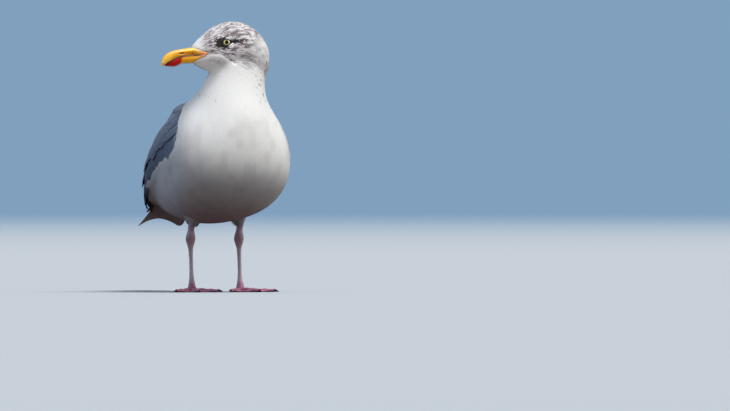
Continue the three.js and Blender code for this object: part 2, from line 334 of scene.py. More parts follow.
class Surface:
    """A skin to lay feathers on: nearest points with soft normals, and random roots."""

    def __init__(self, verts, tris, edges):
        self.verts = verts
        self.tris = tris
        normals = vertex_normals(verts, tris)
        share = 0.1 + 0.6 * smooth(300, 280, verts[:, 2:3])
        for _ in range(16):
            normals = unit(normals + share * (neighbour_mean(normals, edges) - normals))
        self.soft = unit(normals[tris].mean(1))
        self.tree = BVHTree.FromPolygons(verts.tolist(), tris.tolist())

    def hit(self, start, way):
        """Where a line meets the skin, or None."""
        return self.tree.ray_cast(start, way)[0]

    def nearest(self, points):
        found = [self.tree.find_nearest(p) for p in points.tolist()]
        return np.array([place for place, _, _, _ in found]), self.soft[[face for _, _, face, _ in found]]

    def scatter(self, spacing, keep, seed):
        """Roots no closer than spacing(points), where keep(points) holds."""
        rng = np.random.default_rng(seed)
        corners = self.verts[self.tris]
        middle, start = corners.mean(1), corners[:, 0]
        edge, other = corners[:, 1] - start, corners[:, 2] - start
        area = np.linalg.norm(np.cross(edge, other), axis=1) / 2
        load = area * keep(middle) / spacing(middle) ** 2
        count = int(TRIES * load.sum())
        pick = rng.choice(len(area), count, p=load / load.sum())
        a, b = rng.random((2, count, 1))
        flip = (a + b) > 1
        a, b = np.where(flip, 1 - a, a), np.where(flip, 1 - b, b)
        points = start[pick] + a * edge[pick] + b * other[pick]
        gap = spacing(points)
        tree = KDTree(count)
        listed = points.tolist()
        for i, p in enumerate(listed):
            tree.insert(p, i)
        tree.balance()
        free = bytearray(b"\x01") * count
        chosen = []
        for i, p in enumerate(listed):
            if free[i]:
                chosen.append(i)
                for _, j, _ in tree.find_range(p, gap[i]):
                    free[j] = 0
        return points[chosen], self.soft[pick][chosen]


# ---------------- the lie and colour of the plumage
def eye_axis(side):
    """Straight out of the pupil of the eye on that side."""
    return math.cos(EYE_TILT) * side * HEAD_LEFT + math.sin(EYE_TILT) * HEAD_AHEAD


def eye_centre(side):
    return EYE_MIDDLE + side * EYE_DEPTH * HEAD_LEFT - EYE_DROP * UP


def side_of(left):
    """1 on the left and -1 on the right."""
    return np.where(left >= 0, 1.0, -1.0)


def around_eye(points):
    """Distance from the axis of that side's eye, longer where the lids close in, and the way out from it."""
    side = side_of(head_coordinates(points)[2])[:, None]
    away = points - eye_centre(side)
    axis = eye_axis(side)
    away = away - axis * (away * axis).sum(-1, keepdims=True)
    high = away[:, 2]
    radius = np.hypot(np.linalg.norm(away[:, :2], axis=1), high * np.where(high > 0, BROW, UNDER_EYE))
    return radius, unit(away)


def lie(points, normals):
    """Which way the feathers point, along the skin."""
    ahead = head_coordinates(points)[0]
    f, u = points[:, 0], points[:, 2]
    nape = smooth(-18, -52, ahead)[:, None]
    head = unit(unit(points - BILL_POINT) * (1.1 - nape) - UP * (0.12 + 1.3 * nape))
    radius, outward = around_eye(points)
    head = head + outward * (1.5 * smooth(11, 5, radius))[:, None]
    neck = -UP + 0.12 * BODY_BACK
    breast = smooth(120, 235, u)[:, None] * smooth(-30, 60, f)[:, None]
    body = BODY_BACK * (1 - breast) - UP * breast * 1.1
    over = smooth(-34, -6, inside_wing(points)) * smooth(64, 12, f) * smooth(212, 184, u)
    body = body + over[:, None] * np.array([-0.2, 0.0, 0.75])
    way = mix(mix(body, neck, smooth(225, HEAD_FOOT, u)), head, smooth(HEAD_FOOT, 296, u))
    return unit(way - normals * (way * normals).sum(-1, keepdims=True))


WING_EDGE_F = [-186, -156, -115, -100, -77, -47, -5, 33, 43, 53]
WING_EDGE_U = [118, 108, 117, 126, 138, 148, 164, 174, 181, 196]
MANTLE_EDGE_U = [196, 212, 233, 246, 256]
MANTLE_EDGE_F = [52, 44, 29, 11, -14]


def inside_wing(points):
    """Millimetres inside the edge of the blue-grey mantle and wings, seen from the side."""
    f, u = points[..., 0], points[..., 2]
    above_edge = u - np.interp(f, WING_EDGE_F, WING_EDGE_U)
    behind_edge = np.interp(u, MANTLE_EDGE_U, MANTLE_EDGE_F) - f
    return np.minimum(above_edge, behind_edge)


def greyness(points):
    """1 on the blue-grey mantle and wings, 0 on the white."""
    rump = smooth(-160, -150, points[..., 0])
    return smooth(-1.5, 1.5, inside_wing(points)) * np.where(np.abs(points[..., 1]) < 14, rump, 1)


# the white line under and behind the eye, in (ahead, above) of the eye
CRESCENT = [(-1.2, -5.2), (-5.6, -4.1), (-9.2, -1.4)]
# the chin and throat stay clean below this line, which arches back from the gape
MALAR_AHEAD = [-40, -24, -6, 6, 22, 40]
MALAR_ABOVE = [-46, -37, -25, -16.5, -15, -20]
# middle line and half height of the dark patch round the eye
MASK_MIDDLE = [(2, -0.3), (8, -0.7), (14, -0.2), (20, -2.0)]
MASK_HALF = [(-9, 2.6), (-5, 4.8), (0, 6.6), (6, 6.4), (12, 5.4), (18, 2.2)]
# soft spots of the marks: strength, ahead, above, wide, high
FACE_SPOTS = [(0.9, -22, 0.5, 15, 5), (1.0925, -8, -11, 15, 8), (0.475, -24, -10, 13, 9),
              (0.456, -31, -23, 14, 14), (0.285, -13, -26, 13, 8), (1.05, 17, -4, 9, 8), (0.5, 24, 5, 9, 9)]
CHIN_SPOT = (0.3, 8, -25, 14, 4.5)
ROUND_THE_MASK = [(0.3, -1, -8, 8, 4), (0.55, -13, 2.2, 9.5, 3.2), (0.34, -27, 1.2, 11, 4)]


def slit_distance(ahead, above, ends):
    """Distance in the side view from a short straight slit."""
    (a0, b0), (a1, b1) = ends
    da, db = a1 - a0, b1 - b0
    t = np.clip(((ahead - a0) * da + (above - b0) * db) / (da * da + db * db), 0, 1)
    return np.hypot(ahead - a0 - t * da, above - b0 - t * db)


def drawn_out(points, wide, long, seed):
    """Noise in lumps drawn out along the lie of the head's feathers, which run back from the bill."""
    away = points - BILL_POINT
    reach = np.linalg.norm(away, axis=1, keepdims=True)
    return value_noise(away / np.maximum(reach, 1) * 70 / wide + reach / long, 1.0, seed)


def head_marks(points):
    """Streaks, dark mask round the eye, greying of the ground with painted shade on the chin, and the white
    crescent with a painted highlight along the malar line, each from 0 to 1.
    """
    ahead, above, left = head_coordinates(points)
    above = above + EYE_DROP
    lump = value_noise(points, 8.0, 3)
    drawn = 0.62 * drawn_out(points, 0.95, 5.0, 8) + 0.38 * drawn_out(points, 2.1, 8.5, 9)

    def spots(rows):
        return sum(strength * ridge(ahead, a, wide) * ridge(above, b, high)
                   for strength, a, b, wide, high in rows)

    on_side = smooth(4, 9, np.abs(left))
    crown = smooth(-2, 10, above) * between(ahead, -66, -46, 14, 36)
    nape = smooth(-30, -50, ahead) * smooth(-50, -26, above)
    region = np.clip(0.72 * crown + 0.2 * nape + on_side * spots(FACE_SPOTS), 0, 1)
    over_malar = above - np.interp(ahead, MALAR_AHEAD, MALAR_ABOVE)
    region = region * smooth(-1.5, 2.5, over_malar)
    rim = 0.5 * smooth(4.5, 1.5, np.abs(over_malar - 3)) * between(ahead, -16, -4, 22, 30)
    region = region + on_side * (rim + spots([CHIN_SPOT]))
    streaks = region * smooth(0.42, 0.64, drawn) * (0.75 + 0.6 * lump)

    from_middle = np.abs(above - np.interp(ahead, *zip(*MASK_MIDDLE))) / np.interp(ahead, *zip(*MASK_HALF))
    almond = smooth(1.6, 0.6, from_middle) * between(ahead, -13, -6, 8, 22)
    ragged = 0.6 * smooth(0.6, 0.28, drawn)
    mask = np.clip(1.3 * np.clip(almond + spots(ROUND_THE_MASK), 0, 1.1) - ragged, 0, 1) * on_side
    line = np.min([slit_distance(ahead, above, ends) for ends in zip(CRESCENT[:-1], CRESCENT[1:])], axis=0)
    crescent = smooth(0.8, 0.35, line) * on_side
    mask = mask * (1 - smooth(0.25, 0.6, crescent))

    # painted highlight along the bulge of the malar line: it clears the marks there, and from just behind
    # the eye forward it turns pure white with the crescent; below the line, painted shade greys the chin
    white = smooth(2.0, 0.9, np.abs(over_malar + 1.2)) * between(ahead, -34, -26, 30, 36)
    painted_chin_shade = smooth(-1.5, -4.5, over_malar) * smooth(-40, -34, above) * between(ahead, -8, 4, 30, 38)
    ground = region * (0.45 + 0.35 * lump) * (1 - white) + 0.22 * painted_chin_shade * on_side
    crescent = np.maximum(crescent, white * on_side * smooth(-16, -6, ahead))
    return np.clip(streaks * (1 - white), 0, 1), mask, np.clip(ground, 0, 1), crescent


def neck_spots(points):
    """Sparse dark dashes down the hind neck and the sides of the neck."""
    l, u = points[..., 1], points[..., 2]
    where = np.clip(smooth(14, 36, l) + smooth(-18, -34, l) * smooth(262, 250, u), 0, 1)
    dash = smooth(0.76, 0.84, value_noise(points * [1, 1, 0.4], 1.9, 31))
    return where * between(u, 236, 250, 290, 312) * dash * (1 - 0.5 * smooth(-10, -20, l))


def plumage(points, roots, rng):
    """Each feather's ground colour, the colour of its middle streak, and how strong the streak is. Marks
    belong to points, where the feather shows, and grey to the root."""
    colour = mix(WHITE, GREY, greyness(roots))
    cloud = smooth(0.4, 0.8, value_noise(points * [1, 1, 0.7], 10.0, 41)) * smooth(240, 205, points[:, 2])
    colour = colour * (1 - np.multiply.outer(0.10 * cloud, [0.9, 1.0, 1.0]))
    streaks, smudge, ground, crescent = head_marks(points)
    dark = np.maximum(streaks, 0.8 * neck_spots(points)) * (0.6 + 0.6 * rng.random(len(points)))
    smudge = 0.96 * smooth(0.08, 0.66, smudge)
    # the crescent carries the painted highlight along the malar line, and the ground carries the painted
    # shade of the chin
    white = smooth(0.2, 0.5, crescent)
    for other, amount in ((LAVENDER, ground), (STREAK, 0.7 * dark), (SMUDGE, smudge), (PURE_WHITE, white)):
        colour = mix(colour, other, amount)
    colour = colour * (1 + 0.05 * (rng.random(len(points)) - 0.5))[:, None]
    return colour, mix(STREAK, SMUDGE, smudge), np.clip(np.maximum(dark, smudge), 0, 1) * (1 - white)


# ---------------- vanes: the small body feathers
PATCH = 0.003  # each feather's patch of the bake map


def walk(surface, roots, normals, step, count):
    """Paths over the skin from each root, along the lie, count steps long."""
    path, along = [roots], [normals]
    for _ in range(count):
        p, n = surface.nearest(path[-1] + lie(path[-1], along[-1]) * step[:, None])
        path.append(p)
        along.append(n)
    return np.stack(path, 1), np.stack(along, 1)


def unwrap(points, middle, axis, reference):
    """The skin's own map: angle about an axis, and distance along it, filling the square."""
    away = points - middle
    along = away @ axis
    angle = np.arctan2(away @ np.cross(axis, reference), away @ reference) / (2 * math.pi) + 0.5
    spread = max(along.max() - along.min(), 1e-6)
    return np.stack([0.01 + 0.98 * angle, 0.01 + 0.98 * (along - along.min()) / spread], -1)


def strung(line, rows):
    """Vertices of each feather: the root of its line, its rows in between, and the tip of its line."""
    return np.concatenate([line[:, :1], rows.reshape(len(line), -1, 3), line[:, -1:]], 1)


def spread_out(root, rows, tip):
    """The same for one feather's plain numbers."""
    return np.concatenate([[root], rows, [tip]])


def feather_loops(count, around, rows):
    """Vertex numbers at the corners of the triangles, and then of the quads, of count feathers."""
    faces = tube(around, rows)
    start = (np.arange(count) * (around * rows + 2))[:, None, None]
    ends, sides = faces[:around] + faces[-around:], faces[around:-around]
    return [(np.array(part) + start).reshape(-1) for part in (ends, sides)]


def feather_mesh(name, verts, loops, shade, tint, bake_map, material):
    """A mesh object from arrays, with its tint and bake map, and normals by vertex or by face corner."""
    mesh = bpy.data.meshes.new(name)
    flat = to_row(verts.reshape(-1, 3))
    mesh.vertices.add(len(flat))
    mesh.vertices.foreach_set("co", flat.astype(np.float32).ravel())
    tri_count, quad_count = len(loops[0]) // 3, len(loops[1]) // 4
    starts = np.concatenate([np.arange(tri_count) * 3, tri_count * 3 + np.arange(quad_count) * 4])
    loops = np.concatenate(loops)
    mesh.loops.add(len(loops))
    mesh.loops.foreach_set("vertex_index", loops.astype(np.int32))
    mesh.polygons.add(len(starts))
    mesh.polygons.foreach_set("loop_start", starts.astype(np.int32))
    mesh.polygons.foreach_set("use_smooth", np.ones(len(starts), bool))
    mesh.update(calc_edges=True)
    bake = mesh.uv_layers.new(name="OFBake")
    bake.data.foreach_set("uv", bake_map.reshape(-1, 2)[loops].astype(np.float32).ravel())
    thing = placed(name, mesh)
    painted(thing, "Tint", tint.reshape(-1, 3))
    turned = unit(to_row(unit(shade.reshape(-1, 3))) - to_row(np.zeros(3))).tolist()
    if len(turned) == len(flat):
        mesh.normals_split_custom_set_from_vertices(turned)
    else:
        mesh.normals_split_custom_set(turned)
    mesh.materials.append(material)
    return thing


def vanes(name, slot, material, map_frame, path, normals, half, depth, colour, streak, dark, widths):
    """One mesh of thin closed vanes over paths: a root point, rows of three vertices, a tip point."""
    count, rows = len(path), path.shape[1] - 2
    t = np.linspace(0, 1, rows + 2)
    t[-2] = t[-2] * 0.38 + 0.62
    # the middle is raised over its neighbours and the tip lies down on them, so no edge stands up
    lift = depth[:, None] * (0.4 + 0.6 * smooth(0, 0.5, t) - 0.10 * smooth(0.6, 1, t))
    middle = path + normals * lift[..., None]
    side = unit(np.cross(unit(np.gradient(path, axis=1)), normals))[:, 1:-1]
    reach = half[:, None, None] * np.asarray(widths)[None, :, None] * side
    inner, outward = middle[:, 1:-1], normals[:, 1:-1]
    sink = outward * (0.08 * half)[:, None, None]
    bend = 0.12 * side
    verts = strung(middle, np.stack([inner - reach - sink, inner, inner + reach - sink], 2))
    shade = strung(normals, np.stack([outward - bend, outward, outward + bend], 2))

    across = spread_out(0, np.tile([-1.0, 0.0, 1.0], rows), 0)
    down = spread_out(0, np.repeat(t[1:-1], 3), 1)
    core = np.where(across == 0, 1.0, 0.25) * np.where(down == 0, 0.9, 1 - 0.55 * (down > 0.98))
    tint = mix(colour[:, None], streak[:, None], np.clip(dark[:, None] * core[None], 0, 1))
    local = np.stack([across * 0.5, down - 0.5], -1) * PATCH
    bake_map = unwrap(path[:, 0], *map_frame)[:, None] + local[None]
    thing = feather_mesh(name, verts, feather_loops(count, 3, rows), shade, tint, bake_map, material)
    handed_in(thing, slot)


COAT_WIDTHS = {2: [0.9, 0.7], 3: [0.8, 1.0, 0.62]}  # of the rows of a vane, from root to tip
COAT_BLUNT = {2: 0.62, 3: 0.6}  # how near the tip the last row sits, so that the end is blunt


def coat(name, surface, look, slot, seed, map_frame, keep, spacing, length, half, depth, rows=3):
    """Scatters vanes over part of the skin and lays them along the lie."""
    rng = np.random.default_rng(seed)
    roots, normals = surface.scatter(spacing, keep, seed)
    gap = spacing(roots)
    reach = gap * length * (0.85 + 0.3 * rng.random(len(roots)))
    path, along = walk(surface, roots, normals, reach / (rows + 1), rows + 1)
    blunt = COAT_BLUNT[rows]
    path[:, -2] = path[:, -2] * (1 - blunt) + path[:, -1] * blunt
    # no vane ends over an eye, or across the edge of the wing
    tips, high = path[:, -1], roots[:, 2]
    clear = around_eye(tips)[0] > LID_OPENING + 0.3 - 100 * (high < 290)
    clear &= (inside_wing(tips) < 2.5 * rng.random(len(roots))) | (greyness(roots) > 0.5) | (high > 250)
    # a feather folded round a sharp corner would show its underside
    turns = (along[:, :-1] * along[:, 1:]).sum(-1).min(1)
    clear &= (((along[:, 0] * along[:, -1]).sum(-1) > 0.55) & (turns > 0.85)) | (high > HEAD_FOOT)
    roots, gap, path, along = roots[clear], gap[clear], path[clear], along[clear]
    marks = plumage(0.35 * path[:, -2] + 0.65 * path[:, -1], roots, rng)
    half = gap * half * (0.85 + 0.3 * rng.random(len(roots)))
    depth = depth(roots) * (0.97 + 0.06 * rng.random(len(roots)))
    vanes(name, slot, look, map_frame, path, along, half, depth, *marks, COAT_WIDTHS[rows])


# ---------------- laid feathers: wings and tail
BLADE_T = np.array([0, 0.10, 0.24, 0.40, 0.56, 0.70, 0.80, 0.87, 0.92, 0.96, 0.985, 1.0])
ROUND_TIP = (np.sqrt(np.clip(1 - (np.clip(BLADE_T - 0.72, 0, 1) / 0.28) ** 2, 0, 1))
             * np.clip(0.45 + 2.2 * BLADE_T, 0, 1))
POINTED_TIP = (np.clip(1 - np.clip(BLADE_T - 0.5, 0, 1) / 0.5, 0, 1) ** 0.55
               * np.clip(0.6 + 2 * BLADE_T, 0, 1))
ACROSS = np.array([-1, -0.5, 0, 0.5, 1, 0.5, 0, -0.5])  # round the thin section of a blade
UNDER = np.array([0, 0, 0, 0, 0, 1, 1, 1])
SHAFT = 0.18  # how far the shaft stands out


def blades(name, slot, material, centre, normals, half, tint_of, seed, profile=ROUND_TIP, thickness=0.5,
           sag=0.25, tilt=0.3):
    """One mesh of closed thin feathers. centre and normals hold a row of stations for each."""
    rng = np.random.default_rng(seed)
    count, stations = centre.shape[:2]
    around, rows = len(ACROSS), stations - 2
    side = unit(np.cross(unit(np.gradient(centre, axis=1)), normals))
    wide = half[:, None] * profile[None] * (1 + 0.05 * rng.standard_normal((count, stations)))
    lift = (-sag * ACROSS ** 2 * wide[..., None] + tilt * ACROSS + SHAFT * (ACROSS == 0)
            - UNDER * (thickness + SHAFT * (ACROSS == 0)))
    grid = (centre[:, :, None] + side[:, :, None] * (ACROSS * wide[..., None])[..., None]
            + normals[:, :, None] * lift[..., None])
    loops = feather_loops(count, around, rows)

    # flat across: each side of the thin sheet is lit as a sheet, and its edge stays crisp
    curl = 0.22 * ACROSS[:, None] * side[:, 1:-1, None]
    face = strung(normals, np.broadcast_to(normals[:, 1:-1, None], curl.shape))
    upper = [1] * (around // 2) + [-1] * (around // 2)
    sign = [np.tile(np.repeat(upper * rings, sides), count) for rings, sides in ((2, 3), (rows - 1, 4))]
    corners = np.concatenate(loops)
    shade = (face.reshape(-1, 3)[corners] * np.concatenate(sign)[:, None]
             + strung(0 * normals, curl).reshape(-1, 3)[corners])

    t = spread_out(0, np.repeat(BLADE_T[1:-1], around), 1)
    across, under = (spread_out(0, np.tile(values, rows), 0) for values in (ACROSS, UNDER))
    # each feather has a cell of the bake map: its upper side on the left of it, its underside on the right
    index = np.arange(count)[:, None]
    columns = math.ceil(math.sqrt(count))
    corner = np.stack([np.arange(count) % columns, np.arange(count) // columns], -1) / columns
    local = np.stack([0.06 + 0.4 * (0.5 + 0.5 * across) + 0.46 * (under > 0), 0.06 + 0.88 * t], -1) / columns
    thing = feather_mesh(name, strung(centre, grid[:, 1:-1]), loops, shade, tint_of(t, across, index),
                         corner[:, None] + local[None], material)
    length = np.linalg.norm(np.diff(centre, axis=1), axis=2).sum(1)
    barb = np.stack(np.broadcast_arrays(across * half[:, None], t * length[:, None], index), -1)
    painted(thing, "Barb", barb.reshape(-1, 3))
    handed_in(thing, slot)
    return thing


def laid(guide, roots, ways, length, lift_root, lift_tip, bend=0.7):
    """Stations over the guide from each root, keeping each feather's own way. Where the guide turns a
    corner, the feather goes straight on."""
    steps = 10
    p, n = guide.nearest(roots)
    path, along = [p], [n]
    follows = np.ones(len(roots), bool)
    for _ in range(steps):
        straight = p + unit(ways - n * (ways * n).sum(-1, keepdims=True)) * (length / steps)[:, None]
        place, facing = guide.nearest(straight)
        follows = ((facing * along[0]).sum(-1) > 0.6) & ((facing * n).sum(-1) > 0.9) & follows
        p = np.where(follows[:, None], place, straight)
        n = np.where(follows[:, None], facing, n)
        path.append(p)
        along.append(n)
    path, along = np.stack(path, 1), np.stack(along, 1)
    place = BLADE_T * steps
    i = np.minimum(place.astype(int), steps - 1)
    w = (place - i)[None, :, None]
    centre = path[:, i] * (1 - w) + path[:, i + 1] * w
    normals = unit(along[:, i] * (1 - w) + along[:, i + 1] * w)
    lift = lift_root[:, None] + (lift_tip - lift_root)[:, None] * BLADE_T[None] ** bend
    return centre + normals * lift[..., None], normals


WRIST = np.array([30.0, 190.0])  # in (forward, up)
WING_BACK = np.array([-0.87, -0.49])  # along the folded wing
WING_RISE = np.array([-0.49, 0.87])  # square to it
OUTSIDE = 150.0  # well outside the wing


def wing_roots(guide, back, rise, side):
    """Where lines in from the side meet the guide, so far back from the wrist and above the wing's edge."""
    places = []
    for f, u in (WRIST + np.multiply.outer(back, WING_BACK) + np.multiply.outer(rise, WING_RISE)).tolist():
        start = [f, side * OUTSIDE, u]
        hit = guide.hit(start, [0, -side, 0])
        places.append(list(hit if hit is not None else guide.tree.find_nearest(start)[0]))
    return np.array(places)


def wing_way(angle):
    """Direction in 3-D of feathers turned up by angle (degrees) from the wing's own line."""
    a = np.radians(angle)
    flat = np.multiply.outer(np.cos(a), WING_BACK) + np.multiply.outer(np.sin(a), WING_RISE)
    return np.stack([flat[..., 0], 0 * flat[..., 0], flat[..., 1]], -1)


PALE_RIM = srgb(142, 158, 182)
SCAPULAR_RIM = srgb(172, 184, 202)


def grey_tint(fringe, seed, rim_colour=PALE_RIM, pale=0.5, tip_from=None):
    """Grey feathers, a little different each, with a paler fringe and sometimes a white tip."""
    def tint(t, across, index):
        own = 0.93 + 0.14 * np.random.default_rng(seed).random(len(index))
        rim = np.clip(pale * smooth(1 - fringe, 1, t) + 0.4 * pale * (np.abs(across) > 0.9), 0, 1)
        colour = mix(GREY * own[:, None, None], rim_colour, rim[None])
        colour = colour * (1 - 0.25 * (across == 0) * (t < 0.93))[:, None]  # the shaft
        if tip_from is None:
            return colour
        return mix(colour, WHITE, smooth(tip_from, tip_from + 0.035, t - 0.02 * np.abs(across))[None])

    return tint


def shaded(tint, factor):
    """The same tint, darker by a factor for each feather: painted shade."""
    return lambda t, across, index: tint(t, across, index) * factor[:, None, None]


def white_tint(t, across, index):
    """White feathers, a little different each."""
    own = 0.97 + 0.05 * np.random.default_rng(5).random((len(index), 1, 1))
    return np.broadcast_to(WHITE, (len(index), len(t), 3)) * own


def tail_tint(t, across, index):
    """White feathers with a slightly darker shaft."""
    return np.broadcast_to(WHITE * (0.97 - 0.05 * (across == 0))[:, None], (len(index), len(t), 3))


SCAPULAR_BACK = [-26, 0, 27, 60, 140]
SCAPULAR_RISE = [15, 19, 25, 34, 48]  # the lower edge of the scapulars, in wing coordinates


def make_wing(name, side, guide, look):
    """Coverts, secondaries, tertials and scapulars of one folded wing."""
    rng = np.random.default_rng(40 if side > 0 else 41)

    def row(label, back, rise, angle, length, half, lifts, tint, seed, tip_edge=-100):
        count = len(back)
        back = back + rng.normal(0, 1.3, count)
        rise = rise + rng.normal(0, 1.0, count)
        roots = wing_roots(guide, back, rise, side)
        ways = wing_way(angle + rng.normal(0, 3.2, count))
        length = length * (1 + rng.normal(0, 0.06, count))
        layer = rng.normal(0, 0.1, count)
        inside = (inside_wing(roots) > -6) & (inside_wing(roots + ways * length[:, None]) > tip_edge)
        sizes = (length, lifts[0] + layer, lifts[1] + layer)
        centre, normals = laid(guide, roots[inside], ways[inside], *(size[inside] for size in sizes))
        if label == "lesser_coverts":  # painted shade where they come out from under the scapulars
            below = (np.interp(back, SCAPULAR_BACK, SCAPULAR_RISE) - rise)[inside]
            tint = shaded(tint, 1 - 0.35 * smooth(11, 2, below))
        half = np.broadcast_to(half, count)[inside]
        blades(f"{label}_{name}", "plumage_grey", look, centre, normals, half, tint, seed, sag=0.14,
               tilt=0.35 * side)

    k = np.linspace(0, 1, 16)
    row("secondaries", 70 + 84 * k, 1 + 9 * k, -3 + 9 * k, 50, 8.5, (-1.2, 0.0),
        grey_tint(0.05, 51, tip_from=0.92), 61)
    k = np.linspace(0, 1, 9)
    row("tertials", 96 + 26 * k, 14 + 40 * k, 10 - 14 * k, 103 - 24 * k, 14.0, (-0.6, 1.9),
        grey_tint(0.04, 52, tip_from=0.925), 62)
    k = np.linspace(0, 1, 17)
    row("greater_coverts", 44 + 66 * k, 2 + 38 * k, 2, 42, 8.0, (-0.4, 1.5), grey_tint(0.05, 53), 63)
    k = np.linspace(0, 1, 16)
    row("median_coverts", 24 + 46 * k, 2 + 40 * k, 0, 28, 7.0, (0.0, 1.8), grey_tint(0.06, 54), 64, -1.5)
    lines, k = np.repeat(np.arange(11), 19), np.tile(np.arange(19), 11)
    k = (k + 0.5 * (lines % 2)) / 19
    row("lesser_coverts", -34 + 7.0 * lines + 14 * k, -16 + 60 * k, -2, 17, 5.0, (0.5, 1.7),
        grey_tint(0.07, 55), 65, -1.5)
    # the scapulars hang over the coverts as one lobe, with a pale rim; the shadow under it is partly cast by
    # the lobe and partly painted shade on the lesser coverts
    for line in range(3):
        k = (np.arange(24) + 0.5 * (line % 2)) / 24
        back = -26 + 168 * k
        rise = np.interp(back, SCAPULAR_BACK, SCAPULAR_RISE) + 11 * line
        large = smooth(-20, 40, back)
        row(f"scapulars_{line}", back, rise, -8 + 5 * k, 22 + 14 * large, 6.5 + 3 * large,
            (1.0 + 0.1 * line, 4.4 - 0.3 * line), grey_tint(0.10, 57 + line, SCAPULAR_RIM), 67 + line)


FLANK_LINE = np.array([(-150, 108), (-120, 114), (-100, 124), (-77, 137), (-47, 148), (-5, 164), (20, 171)])
FLANK_PAST = (0.8, -4.0, -9.0)  # how far the tips of each layer lie past that line


def flank_size(share):
    """Length and half width of the flank feathers, from the tail end of the wing to its bend."""
    return 30 - 9 * share, 6.2 - 1.6 * share


def make_flanks(name, side, guide, look):
    """White flank feathers in staggered rows, whose tips lie over the lower edge of the wing."""
    rng = np.random.default_rng(48 if side > 0 else 49)
    length = spread_out(0, np.cumsum(np.linalg.norm(np.diff(FLANK_LINE, axis=0), axis=1)), 0)[:-1]

    def at(s):
        return np.array([np.interp(s, length, FLANK_LINE[:, k]) for k in (0, 1)])

    found = []
    for layer, past in enumerate(FLANK_PAST):
        s = 3.0 * (layer % 2)
        while s < length[-1]:
            size, half = flank_size(s / length[-1])
            along = unit(at(s + 4) - at(s - 4))
            inward = np.array([-along[1], along[0]])
            way = unit(inward * 0.7 + WING_BACK * 0.9)
            start = at(s) + inward * (past + rng.uniform(-0.8, 0.8)) - way * size
            hit = guide.hit([start[0], side * OUTSIDE, start[1]], [0, -side, 0])
            if hit is not None:
                found.append((list(hit), [way[0], 0, way[1]], s / length[-1], layer))
            s += half * 1.15 * rng.uniform(0.9, 1.1)
    starts, ways, shares, layers = map(np.array, zip(*found))
    size, half = flank_size(shares)
    size = size * (1 + 0.05 * rng.standard_normal(len(found)))
    centre, normals = laid(guide, starts, ways, size, np.full(len(found), -1.4), 2.8 - 0.7 * layers, 0.9)
    blades(f"flank_{name}", "plumage_white", look, centre, normals, half, white_tint, 79,
           thickness=0.3, sag=0.06, tilt=0.05)


TROUSER_FEATHERS = 360
TROUSER_TOP, TROUSER_END = (6.0, 13.0), (4.6, 6.2)  # least and most distance from the leg's own line
TROUSER_T = np.array([0, 0.34, 0.72, 1.0])[:, None]


def make_trousers(surface, look, map_frame):
    """Short ragged feathers hanging from the belly round the top of each bare leg."""
    rng = np.random.default_rng(80)
    paths, facing = [], []
    for left, _, _ in FEET.values():
        hub = np.array([LEG_FORWARD - 1.0, left, 0.0])
        for _ in range(TROUSER_FEATHERS):
            angle = rng.uniform(0, 2 * math.pi)
            out = np.array([math.cos(angle), math.sin(angle), 0.0])
            start = hub + out * rng.uniform(*TROUSER_TOP)
            hit = surface.hit([start[0], start[1], 40.0], [0, 0, 1])
            if hit is None:
                continue
            end = hub + out * rng.uniform(*TROUSER_END) + UP * (hit[2] - rng.uniform(3.5, 10.0))
            top = np.array(hit) + UP * 0.5
            paths.append(top * (1 - TROUSER_T) + end * TROUSER_T + out * 1.2 * np.sin(math.pi * TROUSER_T))
            facing.append(np.tile(unit(out - 0.35 * UP), (4, 1)))
    count = len(paths)
    colour = WHITE * (0.94 + 0.06 * rng.random((count, 1)))
    vanes("coat_trousers", "plumage_white", look, map_frame, np.array(paths), np.array(facing),
          0.9 + 0.5 * rng.random(count), np.full(count, 0.4), colour, colour, np.zeros(count), [1.0, 0.7])


def make_crescents(surface, look, map_frame):
    """The thin white line under and behind each eye, of small feathers laid end over end."""
    per_line = 11
    starts = np.concatenate([np.linspace(0, 0.85, per_line) + shift for shift in (0.0, 0.03)])
    across = np.repeat([-0.15, 0.3], per_line)
    place = starts[:, None] + np.array([0, 0.07, 0.15, 0.2])[None]
    ahead, above = (np.interp(place, [0, 0.5, 1], values)[..., None] for values in zip(*CRESCENT))
    paths, facing = [], []
    for _, side in SIDES:
        outer = in_head(ahead + 0.8, above - across[:, None, None] - EYE_DROP, side * 40.0).reshape(-1, 3)
        inward = (-side * HEAD_LEFT).tolist()
        points, normals = surface.nearest(np.array([list(surface.hit(p, inward)) for p in outer.tolist()]))
        paths.append(points.reshape(-1, 4, 3))
        facing.append(normals.reshape(-1, 4, 3))
    paths, facing = np.concatenate(paths), np.concatenate(facing)
    count = len(paths)
    white = np.tile(PURE_WHITE, (count, 1))
    vanes("coat_crescents", "plumage_white", look, map_frame, paths, facing, np.full(count, 0.66),
          1.05 * coat_depth(paths[:, 1]) + 0.5, white, white, np.zeros(count), [0.9, 0.8])


MANTLE_LINES = 15
MANTLE_ACROSS = 15
MANTLE_LENGTH = 168
MANTLE_TOP = np.array([2.0, 0.0, 262.0])  # of the last line, at the neck
MANTLE_SPREAD = math.radians(74)  # to each side of the middle of the back


